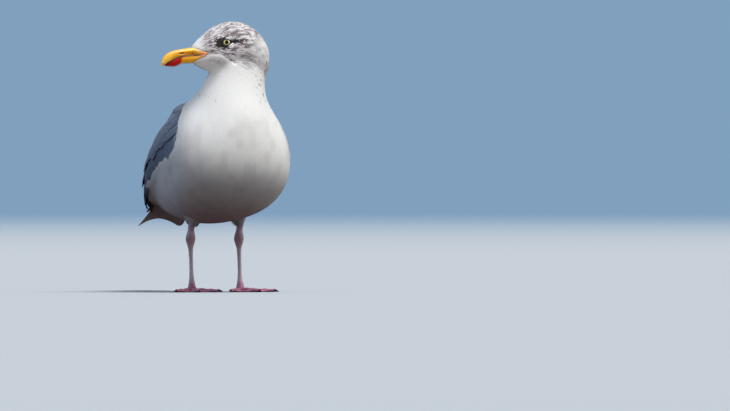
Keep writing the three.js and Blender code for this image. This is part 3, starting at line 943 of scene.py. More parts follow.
def make_mantle(guide, look):
    """Scapulars and back feathers, in lines across the back from the tail end up to the neck."""
    rng = np.random.default_rng(45)
    roots, shares = [], []
    for line in range(MANTLE_LINES):
        share = line / (MANTLE_LINES - 1)
        along = MANTLE_TOP + BODY_BACK * (MANTLE_LENGTH * (1 - share)) - BODY_DOWN * 6
        reach = 62 - 14 * (1 - share)
        for v in (np.arange(MANTLE_ACROSS) + 0.5 * (line % 2) + 0.25) / MANTLE_ACROSS * 2 - 1:
            angle = v * MANTLE_SPREAD
            p = along + LEFT * math.sin(angle) * reach + BODY_DOWN * (math.cos(angle) - 1) * reach * 0.9
            roots.append(p + rng.normal(0, 1.8, 3))
            shares.append(share)
    share = np.array(shares)
    count = len(share)
    ways = BODY_BACK + rng.normal(0, 0.06, (count, 3))
    length = (34 - 13 * share) * (1 + rng.normal(0, 0.07, count))
    centre, normals = laid(guide, np.array(roots), ways, length, rng.normal(-0.6, 0.15, count),
                           rng.normal(1.7, 0.2, count))
    # only on the grey of the back, and not over the rump
    keep = (greyness(centre[:, 0]) > 0.5) & (normals[:, 3, 2] > 0.1) & (centre[:, -1, 0] > -172)
    blades("mantle", "plumage_grey", look, centre[keep], normals[keep], (8.2 - 2.4 * share)[keep],
           grey_tint(0.07, 56, pale=0.3), 66)


PLATE_F = [-238, -223, -191, -154, -122, -106]
PLATE_LEFT = [4.0, 6.5, 15.5, 29.0, 44.5, 50.0]
PLATE_LOW = [105, 103.3, 104, 106, 108, 110]
PLATE_HIGH = [107, 114, 125, 137, 138, 138]
PRIMARIES = 7
PRIMARY_ROOT, PRIMARY_TIP = -108.0, -238  # forward; the innermost ends 84 mm before the outermost
PRIMARY_BASE = srgb(104, 112, 124)


def make_primaries(name, side, look):
    """Black flight feathers beyond the folded wing, the outermost longest and lowest."""
    share = np.linspace(0, 1, PRIMARIES)[:, None]
    f = PRIMARY_ROOT + (PRIMARY_TIP + 84 * share ** 0.92 - PRIMARY_ROOT) * BLADE_T
    low, high, left = (np.interp(f, PLATE_F, values) for values in (PLATE_LOW, PLATE_HIGH, PLATE_LEFT))
    up = low + 6.0 + (high - low - 9.0) * share * (0.9 - 0.25 * BLADE_T)
    lean = 0.3 * (np.clip((up - low) / np.maximum(high - low, 1), 0, 1) - 0.5) * (high - low)
    centre = np.stack([f, side * (left - lean), up], -1)
    normals = np.broadcast_to(unit(np.array([-0.42, 0.86 * side, 0.28])), centre.shape)
    centre = centre + normals * (-1.5 + 3.6 * share)[..., None]

    def tint(t, across, index):
        colour = mix(BLACK, PRIMARY_BASE, 0.8 * smooth(0.62, 0.3, t) * share)
        colour = mix(colour, WHITE, smooth(0.945, 0.965, t - 0.012 * np.abs(across))[None])
        return mix(colour, WHITE, between(t, 0.80, 0.83, 0.905, 0.925) * (index == 0))

    half = np.full(PRIMARIES, 8.0)
    thing = blades(f"primary_feathers_{name}", "plumage_black", look, centre, normals, half, tint, 70,
                   POINTED_TIP, thickness=0.6, sag=0.12, tilt=0.25 * side)
    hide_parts(f"primaries_{name}")


TAIL_F = [-212, -205, -190, -172, -156, -146]
TAIL_UP = [94.6, 96.4, 103.5, 114, 122, 127]


def make_tail(look):
    """Twelve white tail feathers, the middle pair on top, under a set of shorter coverts."""
    for label, length, layer, count in (("tail_feathers", 66, 0.0, 12), ("tail_coverts", 34, 3.4, 9)):
        share = np.linspace(-1, 1, count)[:, None]
        f = -148.0 - length * BLADE_T + 0 * share
        left = share * (15 + 12 * BLADE_T)
        up = np.interp(f, TAIL_F, TAIL_UP) - 6.5 * (left / 25) ** 2 + 1.6 * (1 - np.abs(share)) - 0.8 + layer
        up = up - 7.0 * smooth(0.3, 0.0, BLADE_T)  # the roots are under the rump
        normals = unit(np.stack([-0.5 + 0 * f, left / 50, 0.87 + 0 * f], -1))
        centre, half = np.stack([f, left, up], -1), np.full(count, 7.2)
        thing = blades(label, "plumage_white", look, centre, normals, half, tail_tint, 75,
                       thickness=0.6, sag=0.05, tilt=0.15)
        if label == "tail_feathers":
            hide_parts("tail")


# ---------------- materials
def fill(tree, socket, value):
    """Sets an input to a plain value, or links it when the value is another node's output."""
    if isinstance(value, bpy.types.NodeSocket):
        tree.links.new(value, socket)
    else:
        socket.default_value = value


def node(tree, kind, values=(), output=0, **settings):
    """One output of a new shader node. values fill its inputs in order, and settings are options or inputs
    by name, with _ for a space."""
    made = tree.nodes.new(kind)
    for key in [key for key in settings if hasattr(made, key)]:
        setattr(made, key, settings.pop(key))
    for key, value in settings.items():
        fill(tree, made.inputs[key.replace("_", " ")], value)
    for socket, value in zip(made.inputs, values):
        fill(tree, socket, value)
    return made.outputs[output]


def new_material(name, roughness, **sockets):
    """A Principled material: itself, its node tree and its shader."""
    material = bpy.data.materials.new(name)
    material.use_nodes = True
    shader = material.node_tree.nodes["Principled BSDF"]
    for socket, value in {"Roughness": roughness, **sockets}.items():
        shader.inputs[socket.replace("_", " ")].default_value = value
    return material, material.node_tree, shader


def attribute(tree, name):
    return node(tree, "ShaderNodeAttribute", attribute_name=name)


def noise(tree, scale, stretch=None):
    """3-D noise over the object, in lumps about 1/scale metres across."""
    place = node(tree, "ShaderNodeTexCoord", output="Object")
    if stretch:
        place = node(tree, "ShaderNodeMapping", Vector=place, Scale=stretch)
    return node(tree, "ShaderNodeTexNoise", Vector=place, Scale=scale, Detail=3.0)


def bumped(tree, shader, height, strength, distance):
    fill(tree, shader.inputs["Normal"],
         node(tree, "ShaderNodeBump", Strength=strength, Distance=distance, Height=height))


def varied(tree, shader, colour, fac, low, high):
    """Colour multiplied by a grey between low and high that follows fac."""
    spread = node(tree, "ShaderNodeMapRange", Value=fac, To_Min=low, To_Max=high)
    mixed = node(tree, "ShaderNodeVectorMath", [colour], operation="SCALE", Scale=spread)
    fill(tree, shader.inputs["Base Color"], mixed)


def plumage_material():
    material, tree, shader = new_material("plumage", 0.78, Sheen_Weight=0.12, Sheen_Roughness=0.6,
                                          Specular_IOR_Level=0.25)
    varied(tree, shader, attribute(tree, "Tint"), noise(tree, 900), 0.9, 1.08)
    bumped(tree, shader, noise(tree, 1800), 0.15, 0.0003)
    return material


def laid_material():
    """Laid feathers: the tint of each vertex with fine barbs running out from the shaft."""
    material, tree, shader = new_material("laid_feather", 0.62, Sheen_Weight=0.15, Sheen_Roughness=0.5,
                                          Specular_IOR_Level=0.3)
    parts = tree.nodes.new("ShaderNodeSeparateXYZ")
    fill(tree, parts.inputs[0], attribute(tree, "Barb"))
    across, along, feather = parts.outputs
    out = node(tree, "ShaderNodeMath", [across], operation="ABSOLUTE")
    slant = node(tree, "ShaderNodeMath", [along, out], operation="SUBTRACT")
    short = node(tree, "ShaderNodeMath", [across, 0.12], operation="MULTIPLY")
    place = node(tree, "ShaderNodeCombineXYZ", [slant, short, feather])
    barbs = node(tree, "ShaderNodeTexNoise", Vector=place, Scale=1.3, Detail=2.0)
    varied(tree, shader, attribute(tree, "Tint"), barbs, 0.86, 1.12)
    bumped(tree, shader, barbs, 0.35, 0.0004)
    return material


def leg_material():
    material, tree, shader = new_material("leg_skin", 0.42, Subsurface_Weight=0.12,
                                          Subsurface_Radius=(0.002, 0.0008, 0.0006))
    varied(tree, shader, attribute(tree, "Tint"), noise(tree, 1200), 0.9, 1.08)
    bumped(tree, shader, noise(tree, 1600), 0.25, 0.0003)
    return material


def claw_material():
    material, tree, shader = new_material("claw", 0.3)
    colour = tree.nodes.new("ShaderNodeRGB").outputs[0]
    colour.default_value = (*srgb(30, 26, 27), 1)
    varied(tree, shader, colour, noise(tree, 500), 0.7, 1.6)
    return material


def lid_material():
    return new_material("lid", 0.5, Base_Color=(*srgb(46, 38, 38), 1))[0]


def bill_material():
    material, tree, shader = new_material("bill", 0.34, Coat_Weight=0.35, Coat_Roughness=0.25)
    varied(tree, shader, attribute(tree, "Tint"), noise(tree, 700), 0.92, 1.06)
    bumped(tree, shader, noise(tree, 900, stretch=(0.3, 1, 1)), 0.12, 0.0003)
    return material


# distance from the middle of the pupil, in centimetres, and colour
IRIS = [(0.0, 6, 5, 5), (0.215, 8, 7, 6), (0.24, 120, 110, 60), (0.29, 216, 210, 140),
        (0.375, 242, 238, 178), (0.41, 96, 84, 48), (0.44, 16, 13, 12)]


def eye_material():
    """Black pupil in a pale yellow iris with fine spokes and a dark edge."""
    material, tree, shader = new_material("eye", 0.06, Coat_Weight=1.0, Coat_Roughness=0.02)
    parts = tree.nodes.new("ShaderNodeSeparateXYZ")
    fill(tree, parts.inputs[0], attribute(tree, "Disc"))
    flat = node(tree, "ShaderNodeCombineXYZ", Y=parts.outputs["Y"], Z=parts.outputs["Z"])
    radius = node(tree, "ShaderNodeVectorMath", [flat], output="Value", operation="LENGTH")
    ramp = tree.nodes.new("ShaderNodeValToRGB")
    fill(tree, ramp.inputs["Fac"], node(tree, "ShaderNodeMapRange", Value=radius, From_Max=10.0))
    while len(ramp.color_ramp.elements) < len(IRIS):
        ramp.color_ramp.elements.new(1.0)
    for element, (place, *colour) in zip(ramp.color_ramp.elements, IRIS):
        element.position = place
        element.color = (*srgb(*colour), 1)
    spokes = node(tree, "ShaderNodeVectorMath", [flat], operation="NORMALIZE")
    grain = node(tree, "ShaderNodeTexNoise", Vector=spokes, Scale=9.0, Detail=2.0)
    varied(tree, shader, ramp.outputs["Color"], grain, 0.75, 1.2)
    return material


# ---------------- skin
SHANK_RINGS = [  # height, forward of the foot's root, half depth, half width
    (1.0, 1, 0.01, 0.01), (4, 1, 6.2, 5.4), (9, 0, 5.2, 4.5), (16, -0.6, 4.1, 3.4), (26, -1.6, 3.3, 2.5),
    (42, -3, 3.2, 2.4), (56, -4.4, 3.9, 3.1), (63, -4.9, 5.6, 4.9), (69, -5, 6.9, 6.3), (74, -4.4, 6.3, 5.6),
    (80, -3.4, 4.8, 4.3), (87, -1, 5.0, 4.4), (95, 2, 7, 5.6), (106, 5, 8, 6.5), (108, 5, 0.01, 0.01)]
HUB_RINGS = [(7, 0, 0.01), (5, 0.7, 4.6), (0, 1, 6.5), (-5, 0.7, 4.6), (-7, 0, 0.01)]
HIND_TOE_RINGS = [(-2, 7, 0.01), (3, 5.6, 2.1), (7, 4.2, 1.7), (9.6, 3.7, 1.2), (10.6, 3.6, 0.01)]
LEG_FORWARD = -11.0
ANKLE_HEIGHT = 69
FEET = {"left": (37.0, 1, 2.5), "right": (-30.5, -1, 8.0)}  # sideways place, side, turn out in degrees
TOES = {"inner": (-42, 42, 2.7), "middle": (3, 54, 3.0), "outer": (38, 50, 2.7)}  # turn, length, radius
TOE_JOINTS = {1: 0.93, 3: 1.10, 5: 0.93, 6: 1.10, 7: 0.93}  # thickness at some of the nine rings
WEB_THICKNESS = 1.4


def toe_ways(degrees):
    """Along a toe that is turned by so many degrees, and across it."""
    out = np.array([math.cos(math.radians(degrees)), math.sin(math.radians(degrees)), 0.0])
    return out, np.cross(UP, out)


def leg_parts(name):
    """The closed surfaces that one bare leg and foot are made of, before they are joined."""
    left, side, turn = FEET[name]

    def at(forward, height):
        return np.array([LEG_FORWARD + forward, left, height])

    shank = [(at(f + deep, h), at(f - deep, h), half) for h, f, deep, half in SHANK_RINGS]
    middle = [(at(2 + x, 1.6 + 4.5 * y), at(2 + x, 0.0), wide) for x, y, wide in HUB_RINGS]
    parts = [loft(shank, LEFT, 28, 130), loft(middle, LEFT, 24, 20)]
    hub = at(2, 0.0)
    lines = []
    for own, length, radius in TOES.values():
        out, across = toe_ways((own + turn) * side)
        lines.append((hub, out, length))
        start, end = hub - out * 4 + UP * 3, hub + out * (length + 0.8)
        rows = [(start, start, 0.01)]
        for i in range(9):
            r = radius * (1.12 - 0.3 * i / 8) * TOE_JOINTS.get(i, 1.0)
            middle = hub + out * i / 8 * (length - 1.5)
            rows.append((middle + UP * 1.75 * r, middle + UP * 0.02, r, 2.1))
        rows.append((end + UP * 1.8, end + UP * 1.4, 0.01))
        parts.append(loft(rows, across, 22, 90))
    out, across = toe_ways((180 - turn) * side)
    rows = [(hub + out * along + UP * (high + r), hub + out * along + UP * (high - r), r * 0.9)
            for along, high, r in HIND_TOE_RINGS]
    parts.append(loft(rows, across, 16, 24))
    return parts + [web_sheet(lines[0], lines[1], 0.30), web_sheet(lines[1], lines[2], 0.24)]


def web_sheet(first, second, dip):
    """A thin closed sheet between two toes, hollowed along its outer edge."""
    n, m = 26, 20
    s, q = np.meshgrid(np.linspace(0, 1, n), np.linspace(0, 1, m), indexing="ij")
    reach = (0.96 - dip * np.sin(math.pi * q) ** 0.8) * s
    a, b = (hub + out * (reach * length)[..., None] for hub, out, length in (first, second))
    height = 2.2 - 1.1 * np.sin(math.pi * q) + 0.25 * np.sin(q * math.pi * 5) * s
    sheet = [mix(a, b, q) + UP * (height + up)[..., None] for up in (WEB_THICKNESS / 2, -WEB_THICKNESS / 2)]
    index = np.arange(n * m).reshape(n, m)
    faces = []
    for corner in index[:-1, :-1].ravel():
        a, b, c, d = corner + np.array([0, m, m + 1, 1])
        faces += [[a, b, c, d], [d + n * m, c + n * m, b + n * m, a + n * m]]
    border = np.concatenate([index[:, 0], index[-1, 1:], index[-2::-1, -1], index[0, -2:0:-1]])
    faces += [[b, a, a + n * m, b + n * m] for a, b in zip(border, np.roll(border, -1))]
    return np.vstack([part.reshape(-1, 3) for part in sheet]), faces


def leg_scales(verts, normals):
    """Broad scutes down the front of the shank and along the toes, small scales elsewhere: the relief, and
    how deep in a groove each point is, which sets the painted shade in the grooves."""
    f, l, u = verts[:, 0] - LEG_FORWARD, verts[:, 1], verts[:, 2]
    shank = smooth(10, 16, u)
    front = smooth(0.1, 0.5, normals[:, 0])
    band = np.abs(np.sin(math.pi * u / 3.4)) ** 0.5
    reach = np.hypot(f, l - np.where(l > 3, FEET["left"][0], FEET["right"][0]))
    toe_band = np.abs(np.sin(math.pi * reach / 2.4)) ** 0.6
    cells = value_noise(verts, 1.3, 17)
    top = smooth(0.2, 0.7, normals[:, 2]) * smooth(2.6, 3.4, u)
    relief = shank * (front * band * 0.30 + (1 - front) * 0.22 * cells)
    relief = relief + (1 - shank) * (top * toe_band * 0.28 + (1 - top) * 0.2 * cells)
    groove = shank * front * (1 - band) + (1 - shank) * top * (1 - toe_band) + 0.5 * smooth(0.55, 0.3, cells)
    return relief, np.clip(groove, 0, 1)


def leg_tint(verts, groove):
    """Pale pink shanks, redder knobs and feet, with painted shade in the grooves."""
    u = verts[:, 2]
    colour = mix(srgb(238, 222, 230), srgb(210, 162, 176), 0.8 * ridge(u, ANKLE_HEIGHT, 8.0))
    colour = mix(colour, srgb(200, 122, 156), smooth(18, 7, u))
    # painted shade in the grooves
    return colour * ((0.86 + 0.24 * value_noise(verts, 4.0, 23)) * (1 - 0.35 * groove))[:, None]


def coat_depth(points):
    """How far the skin lies inside the outline of the plumage."""
    ahead, above, _ = head_coordinates(points)
    head = smooth(HEAD_FOOT, 290, points[:, 2])
    gape = smooth(20, 24, ahead) * smooth(8, 4, np.abs(above + 17)) * head
    return 1.35 - 0.45 * smooth(-10, 34, ahead) * head + gape


def round_the_eyes(verts):
    """Sinks the skin under each eyeball's opening and lifts it as lids just outside."""
    radius, _ = around_eye(verts)
    ahead, above, left = head_coordinates(verts)
    near = (radius < 12) & (np.abs(left) > 9) & (verts[:, 2] > 300)
    true = np.hypot(ahead + math.sin(EYE_TILT) * (EYE_DEPTH - np.abs(left)), above + EYE_DROP)
    ball = EYE_DEPTH + np.sqrt(np.maximum(EYE_RADIUS ** 2 - np.minimum(true, 7.3) ** 2, 0))
    rim = EYE_DEPTH + math.sqrt(EYE_RADIUS ** 2 - LID_EDGE ** 2) - 0.5
    lid = np.maximum(rim - 0.22 * (radius - LID_EDGE), ball - 0.35)
    wanted = np.where(radius < 5.2, ball - 1.6, lid)
    moved = near * smooth(12, 7.5, radius) * (wanted - np.abs(left)) * side_of(left)
    return verts + moved[:, None] * HEAD_LEFT


def make_skin(plumage_look, leg_look):
    """One skin for the body and the bare legs. Returns the body's surface and the outline of its plumage."""
    verts, quads, edges = remeshed(node_surfaces(BODY + EYES, BODY_SWELL), BODY_VOXEL)
    verts = relax(verts, edges, 24, 0.6)
    coarse = smooth(292, 268, verts[:, 2]) * smooth(-165, -135, verts[:, 0])  # not the head and the tail end
    verts = evened(verts, edges, 90, coarse)
    tris = triangles(quads)
    outline = Surface(verts, tris, edges)
    verts = verts - vertex_normals(verts, tris) * coat_depth(verts)[:, None]
    verts = round_the_eyes(relax(verts, edges, 4))
    surface = Surface(verts, tris, edges)

    leg_verts, leg_quads, leg_edges = remeshed(leg_parts("left") + leg_parts("right"), LEG_VOXEL)
    leg_verts = relax(leg_verts, leg_edges, 6)
    normals = vertex_normals(leg_verts, triangles(leg_quads))
    relief, groove = leg_scales(leg_verts, normals)
    leg_verts = leg_verts + normals * (relief - 0.15)[:, None]
    leg_verts[:, 2] = np.maximum(leg_verts[:, 2], 0.02)
    faces = np.vstack([quads, leg_quads + len(verts)])
    skin = make_object("skin", np.vstack([verts, leg_verts]), faces, plumage_look)
    skin.data.materials.append(leg_look)
    on_leg = np.arange(len(faces)) >= len(quads)
    skin.data.polygons.foreach_set("material_index", on_leg.astype(np.int32))
    colour, streak, dark = plumage(verts, verts, np.random.default_rng(1))
    painted(skin, "Tint", np.vstack([mix(colour, streak, 0.6 * dark), leg_tint(leg_verts, groove)]))
    handed_in(skin, "plumage_white", *BODY, *THIGHS, *LEGS)
    return surface, outline


# ---------------- bill
# sections from (ahead, above) of the top and of the bottom edge, half width and squareness
UPPER_BILL = [
    ((22.5, -15.2), (22.5, -15.2), 0.01, 2.0), ((25, -14.2), (25, -17.4), 14.6, 2.6),
    ((31, -12.0), (31, -18.6), 13.2, 2.8), ((37, -9.6), (37, -19.0), 10.4, 2.8),
    ((43, -8.3), (42, -19.2), 8.1, 2.6), ((52.5, -9.8), (52, -20.0), 6.6, 2.5),
    ((61, -11.1), (60, -21.4), 5.6, 2.4), ((69, -12.8), (66, -23.8), 5.0, 2.3),
    ((76, -15.8), (71.5, -27.0), 4.4, 2.1), ((81.5, -20.6), (76, -30.0), 3.5, 2.0),
    ((84.6, -26.5), (80.4, -31.6), 2.2, 2.0), ((85, -32.4), (85, -32.4), 0.01, 2.0)]
LOWER_BILL = [
    ((23, -16.0), (23, -16.0), 0.01, 2.0), ((25.5, -14.0), (26, -19.0), 14.2, 2.6),
    ((31, -14), (32, -23.0), 12.6, 2.6), ((37, -14), (38, -27.0), 9.8, 2.4),
    ((43, -15), (44, -29.0), 7.2, 2.2), ((52.5, -16), (52.5, -29.0), 5.8, 2.2),
    ((60, -17), (59, -30.2), 5.0, 2.1), ((66, -18.5), (65, -32.8), 4.4, 2.0),
    ((73, -21), (72, -33.0), 3.8, 2.0), ((79, -26), (78.5, -32.4), 2.9, 2.0),
    ((83, -30.6), (83, -30.6), 0.01, 2.0)]
NOSTRIL = ((55.6, -15.9), (60.6, -16.7))
MOUTH_LINE = [(22, -16.2), (31, -18.6), (42, -19.2), (52, -20.0), (60, -21.2), (66, -23.4), (71.5, -26.6),
              (76.5, -29.6), (81, -31)]
GOLD, PALE_GOLD, HORN = srgb(238, 164, 22), srgb(250, 198, 66), srgb(248, 226, 150)
RUST, RED, FLESH = srgb(196, 96, 10), srgb(186, 8, 2), srgb(244, 150, 96)


def bill_tint(verts, lower):
    """Golden bill: paler culmen and tip, red towards the tip of the lower half, flesh at the gape; painted
    shadow along the mouth line, and painted shade in the nostril and along its groove.
    """
    ahead, above, _ = head_coordinates(verts)
    lump = value_noise(verts, 3.0, 21)
    over_mouth = above - np.interp(ahead, *zip(*MOUTH_LINE))
    if lower:
        layers = [(RED, smooth(55.5, 59.5, ahead + 2 * (lump - 0.5) + 0.25 * (above + 24))),
                  (PALE_GOLD, smooth(-26.5, -29, above) * smooth(56, 50, ahead) * 0.7),
                  # painted shadow along the mouth line, under the edge of the upper half
                  (srgb(60, 26, 12), smooth(-0.75, -0.15, over_mouth) * 0.9)]
    else:
        # rust-brown painted shade along the nostril groove
        groove = ridge(above, -15.6, 1.3) * between(ahead, 40, 44, 58, 66)
        speck = smooth(0.4, 0.6, value_noise(verts, 1.1, 5)) * between(ahead, 31, 34, 46, 52)
        layers = [(PALE_GOLD, smooth(-14.5, -11, above) * 0.75),
                  (PALE_GOLD, smooth(66, 76, ahead) * 0.7),
                  (HORN, smooth(82.5, 85.5, ahead) * 0.7),
                  (RUST, groove * (0.35 + 0.5 * lump)),
                  (PALE_GOLD, ridge(over_mouth, 1.4, 0.9) * 0.3 * smooth(46, 52, ahead)),
                  (srgb(70, 36, 12), 0.85 * speck * ridge(above, -14.2, 1.3)),
                  # painted shade inside the nostril slit
                  (srgb(20, 10, 6), smooth(1.0, 0.45, slit_distance(ahead, above, NOSTRIL)))]
    tint = np.tile(GOLD, (len(verts), 1))
    for colour, amount in layers + [(FLESH, smooth(38, 29, ahead) * 0.85)]:
        tint = mix(tint, colour, amount)
    return tint * (0.94 + 0.12 * lump)[:, None]


def make_bill(look):
    """The two halves of the bill, the upper one with its nostril and groove."""
    for name, rows, lower in (("bill_top", UPPER_BILL, False), ("bill_bottom", LOWER_BILL, True)):
        sections = [(in_head(*top), in_head(*bottom), half, square) for top, bottom, half, square in rows]
        verts, faces = loft(sections, HEAD_LEFT, 72, 170)
        tint = bill_tint(verts, lower)
        if not lower:
            ahead, above, _ = head_coordinates(verts)
            slit = 1.3 * ridge(slit_distance(ahead, above, NOSTRIL), 0, 0.75)
            hollow = 0.28 * ridge(above, -16.0, 1.2) * between(ahead, 41, 46, 60, 68)
            verts = verts - vertex_normals(verts, as_triangles(faces)) * (slit + hollow)[:, None]
        piece = make_object(name, verts, faces, look)
        painted(piece, "Tint", tint)
        handed_in(piece, "bill", "bill_lower" if lower else "bill_upper")


# ---------------- eyes
EYE_RINGS, EYE_SPOKES = 39, 64
LID_SPOKES, LID_PROFILE = 72, 10


def cosines_and_sines(count):
    """Of so many evenly spaced angles, all the way round."""
    turn = np.linspace(0, 2 * math.pi, count, endpoint=False)
    return np.cos(turn), np.sin(turn)


def make_eye(name, side, look, lid_look):
    """A glossy ball, and the dark rim of bare lid round it."""
    out = eye_axis(side)
    across = unit(np.cross(UP, out))
    up = np.cross(out, across)
    bend = np.linspace(0, math.pi, EYE_RINGS + 2)[1:-1, None]
    cosine, sine = cosines_and_sines(EYE_SPOKES)
    local = np.stack(np.broadcast_arrays(np.cos(bend), np.sin(bend) * cosine, np.sin(bend) * sine), -1)
    local = np.vstack([[[1, 0, 0]], local.reshape(-1, 3), [[-1, 0, 0]]]) * EYE_RADIUS
    verts = eye_centre(side) + local @ np.array([out, across, up])
    eye = make_object(f"eyeball_{name}", verts, [f[::-1] for f in tube(EYE_SPOKES, EYE_RINGS)], look)
    painted(eye, "Disc", local)
    handed_in(eye, "eye", f"eye_{name}")

    cosine, sine = cosines_and_sines(LID_SPOKES)
    round_out, round_up = cosines_and_sines(LID_PROFILE)
    closing = np.where(sine > 0, BROW, UNDER_EYE)
    opening = LID_OPENING * (1 + 0.10 * np.abs(cosine) ** 5) / np.hypot(cosine, sine * closing)
    radial = opening[:, None] + 0.75 + 0.85 * round_out
    seat = np.sqrt(np.maximum(EYE_RADIUS ** 2 - np.minimum(radial, 7.2) ** 2, 0))
    local = np.stack([seat + 0.18 + 0.42 * round_up, radial * cosine[:, None], radial * sine[:, None]], -1)
    verts = eye_centre(side) + local.reshape(-1, 3) @ np.array([out, across, up])
    index = np.arange(LID_SPOKES * LID_PROFILE).reshape(LID_SPOKES, LID_PROFILE)
    on, over = np.roll(index, -1, 0), np.roll(index, -1, 1)
    faces = np.stack([index, on, np.roll(on, -1, 1), over], -1).reshape(-1, 4)
    handed_in(make_object(f"lid_{name}", verts, faces, lid_look), "leg_skin")


# ---------------- stage, lights and camera
CAMERA_AZIMUTH = -22
CAMERA_DISTANCE = 15.0
CAMERA_HEIGHT = 0.156
LOOK_RIGHT, LOOK_UP = 0.1927, 0.1125
VIEW_WIDTH = 0.949
BACKDROP = srgb(128, 160, 190)
FLOOR_COLOUR = srgb(180, 186, 192)
FLOOR_BOUNCE = 0.06 * FLOOR_COLOUR * [1.55, 0.9, 0.78]  # what the floor throws back up
FLOOR_SIZE = 80
FADE_START, FADE_END = 6.0, 30.0  # metres
AMBIENT = 0.38
# degrees round from the camera to the bird's right, degrees up, spread in degrees, strength, colour
SUNS = {"key": (55, 65, 30, 3.05, (1.0, 0.985, 0.96)), "low": (90, 15, 30, 0.5, (1.0, 0.97, 0.94)),
        "sky": (-100, 30, 60, 0.4, (0.2, 0.5, 1.0))}
FILL_WAY = (-12, 2)
FILL_POWER = 80
FILL_CONE = 7.0  # degrees
FILL_MIDDLE = np.array([0.0, -0.115, 0.303])
FILL_DISTANCE = 2.5


def make_camera():
    """The photo's view, from far off with a long lens."""
    angle = math.radians(CAMERA_AZIMUTH)
    right = np.array([math.cos(angle), math.sin(angle), 0])
    back = np.array([math.sin(angle), -math.cos(angle), 0])
    data = bpy.data.cameras.new("camera")
    data.sensor_width = 36
    data.lens = 36 * CAMERA_DISTANCE / VIEW_WIDTH
    data.clip_end = 200
    camera = placed("camera", data)
    camera.location = to_row(np.zeros(3)) + right * LOOK_RIGHT + back * CAMERA_DISTANCE + UP * CAMERA_HEIGHT
    pitch = math.atan2(CAMERA_HEIGHT - LOOK_UP, CAMERA_DISTANCE)
    camera.rotation_euler = (math.pi / 2 - pitch, 0, angle)
    bpy.context.scene.camera = camera


def lamp(kind, name, azimuth, elevation, power, colour, **settings):
    """A lamp so many degrees round from the camera to the bird's right and so many up, and the way to it."""
    turn, rise = math.radians(CAMERA_AZIMUTH - 90 + azimuth), math.radians(elevation)
    way = np.array([math.cos(turn) * math.cos(rise), math.sin(turn) * math.cos(rise), math.sin(rise)])
    data = bpy.data.lights.new(name, kind)
    data.energy = power
    data.color = colour
    for key, value in settings.items():
        setattr(data, key, value)
    light = placed(name, data)
    light.rotation_euler = (math.pi / 2 - rise, 0, math.atan2(-way[1], -way[0]) - math.pi / 2)
    return light, way


def by_camera_ray(tree, unseen, seen):
    """One shader for rays straight from the camera, and another for light that bounces about."""
    return node(tree, "ShaderNodeMixShader", [node(tree, "ShaderNodeLightPath"), unseen, seen])


def make_floor():
    """A pale floor that melts into the backdrop's colour far away."""
    s = FLOOR_SIZE
    mesh = bpy.data.meshes.new("floor")
    mesh.from_pydata([(-s, -s, 0), (s, -s, 0), (s, s, 0), (-s, s, 0)], [], [(0, 1, 2, 3)])
    material, tree, shader = new_material("floor", 0.9, Base_Color=(*FLOOR_COLOUR, 1))
    # pale to look at, but it throws little light back up, so that the belly keeps its shade
    dim = node(tree, "ShaderNodeBsdfDiffuse", Color=(*FLOOR_BOUNCE, 1))
    near = by_camera_ray(tree, dim, shader.outputs["BSDF"])
    place = node(tree, "ShaderNodeTexCoord", output="Object")
    far = node(tree, "ShaderNodeVectorMath", [place], output="Value", operation="LENGTH")
    fade = node(tree, "ShaderNodeMapRange", Value=far, From_Min=FADE_START, From_Max=FADE_END,
                interpolation_type="SMOOTHSTEP")
    glow = node(tree, "ShaderNodeEmission", Color=(*BACKDROP, 1), Strength=1.0)
    blend = node(tree, "ShaderNodeMixShader", [fade, near, glow])
    fill(tree, tree.nodes["Material Output"].inputs["Surface"], blend)
    mesh.materials.append(material)
    placed("floor", mesh)


def make_world():
    """A plain backdrop for the camera, and a soft even sky for everything else."""
    world = bpy.data.worlds.new("world")
    bpy.context.scene.world = world
    world.use_nodes = True
    tree = world.node_tree
    ambient = tree.nodes["Background"]
    ambient.inputs["Color"].default_value = (0.86, 0.93, 1.0, 1)
    ambient.inputs["Strength"].default_value = AMBIENT
    seen = node(tree, "ShaderNodeBackground", Color=(*BACKDROP, 1), Strength=1.0)
    fill(tree, tree.nodes["World Output"].inputs["Surface"], by_camera_ray(tree, ambient.outputs[0], seen))
    bpy.context.scene.view_settings.view_transform = "Standard"


def make_lamps():
    """Three large far lamps, and a soft spot on the head and neck, which their own shade leaves too dark."""
    for name, (azimuth, elevation, spread, strength, colour) in SUNS.items():
        lamp("SUN", name, azimuth, elevation, strength, colour, angle=math.radians(spread))
    spot, way = lamp("SPOT", "fill", *FILL_WAY, FILL_POWER, (1.0, 1.0, 1.0), shadow_soft_size=0.04,
                     spot_blend=1.0, spot_size=math.radians(FILL_CONE))
    spot.location = FILL_MIDDLE + way * FILL_DISTANCE


# ---------------- the bird
HEAD_MAP = (in_head(-12, -12), UP, HEAD_LEFT)  # middle, axis and front of each part's unwrap
NECK_MAP = (np.array([50.0, 0, HEAD_FOOT]), UP, np.array([1.0, 0, 0]))
BODY_MAP = (np.array([0.0, 0.0, 160.0]), -BODY_BACK, -BODY_DOWN)


def on_head(p):
    """Feathered skin of the head, up to the bill's notched edge and the lids."""
    ahead, above, _ = head_coordinates(p)
    front = np.interp(above, [-31, -16, -8], [41.5, 22, 41.5])
    return (p[:, 2] > 286) & (ahead < front) & (around_eye(p)[0] > LID_OPENING + 0.6)


def head_gap(p):
    """Distance between vanes: closer towards the bill and round the eyes."""
    return 0.85 + 0.35 * smooth(20, -30, head_coordinates(p)[0]) - 0.17 * smooth(15, 9, around_eye(p)[0])


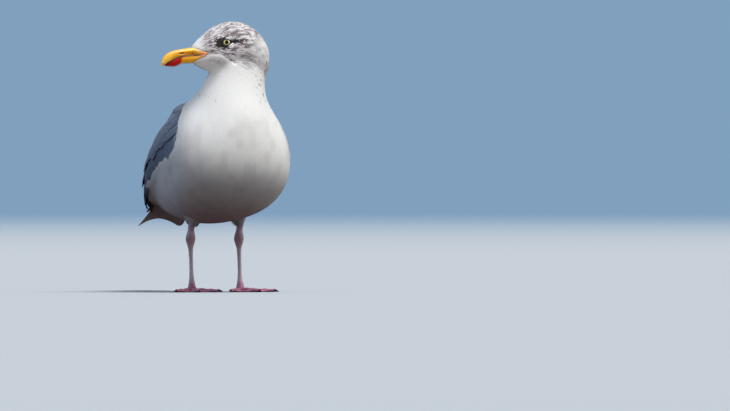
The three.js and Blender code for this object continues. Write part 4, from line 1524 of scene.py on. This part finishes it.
def even_gap(gap):
    """The same distance between vanes everywhere."""
    return lambda p: np.full(len(p), gap)


def breast_depth(p):
    """The white feathers stand out to lap the edge of the wing."""
    return 1.1 * coat_depth(p) + 1.5 * smooth(-30, -5, inside_wing(p))


def make_coat(surface, look):
    """The small feathers of head, neck, breast and back."""
    white, grey = "plumage_white", "plumage_grey"
    coat("coat_head", surface, look, white, 11, HEAD_MAP, on_head, head_gap, 5.8, 0.88,
         lambda p: 1.05 * coat_depth(p), rows=2)
    coat("coat_neck", surface, look, white, 12, NECK_MAP,
         lambda p: (p[:, 2] <= NECK_TOP) & (p[:, 2] > NECK_FOOT), even_gap(1.3), 7.6, 0.95, breast_depth)
    for name, left, seed in (("right", False, 13), ("left", True, 14)):
        coat(f"coat_breast_{name}", surface, look, white, seed, BODY_MAP,
             lambda p: (p[:, 2] <= NECK_FOOT) & (greyness(p) < 0.5) & ((p[:, 1] >= 0) == left),
             even_gap(1.4), 8.6, 0.95, breast_depth)
        coat(f"coat_back_{name}", surface, look, grey, seed + 2, BODY_MAP,
             lambda p: (p[:, 2] <= HEAD_FOOT) & (p[:, 0] > -138) & (greyness(p) >= 0.5)
             & ((p[:, 1] >= 0) == left), even_gap(3.6), 3.8, 0.8, lambda p: 1.1 * coat_depth(p))


def main():
    look, laid_look, claw_look = plumage_material(), laid_material(), claw_material()
    # the claws are shown as the CAD has them
    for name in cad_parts:
        if name.startswith("claw_"):
            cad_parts[name].data.materials.clear()
            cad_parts[name].data.materials.append(claw_look)
    surface, outline = make_skin(look, leg_material())
    make_bill(bill_material())
    eye_look, lid_look = eye_material(), lid_material()
    for name, side in SIDES:
        make_eye(name, side, eye_look, lid_look)
    make_coat(surface, look)
    make_trousers(surface, look, BODY_MAP)
    make_crescents(surface, look, HEAD_MAP)
    make_mantle(outline, laid_look)
    make_tail(laid_look)
    for name, side in SIDES:
        make_wing(name, side, outline, laid_look)
        make_flanks(name, side, outline, laid_look)
        make_primaries(name, side, laid_look)


make_camera()
make_floor()
make_world()
make_lamps()
main()
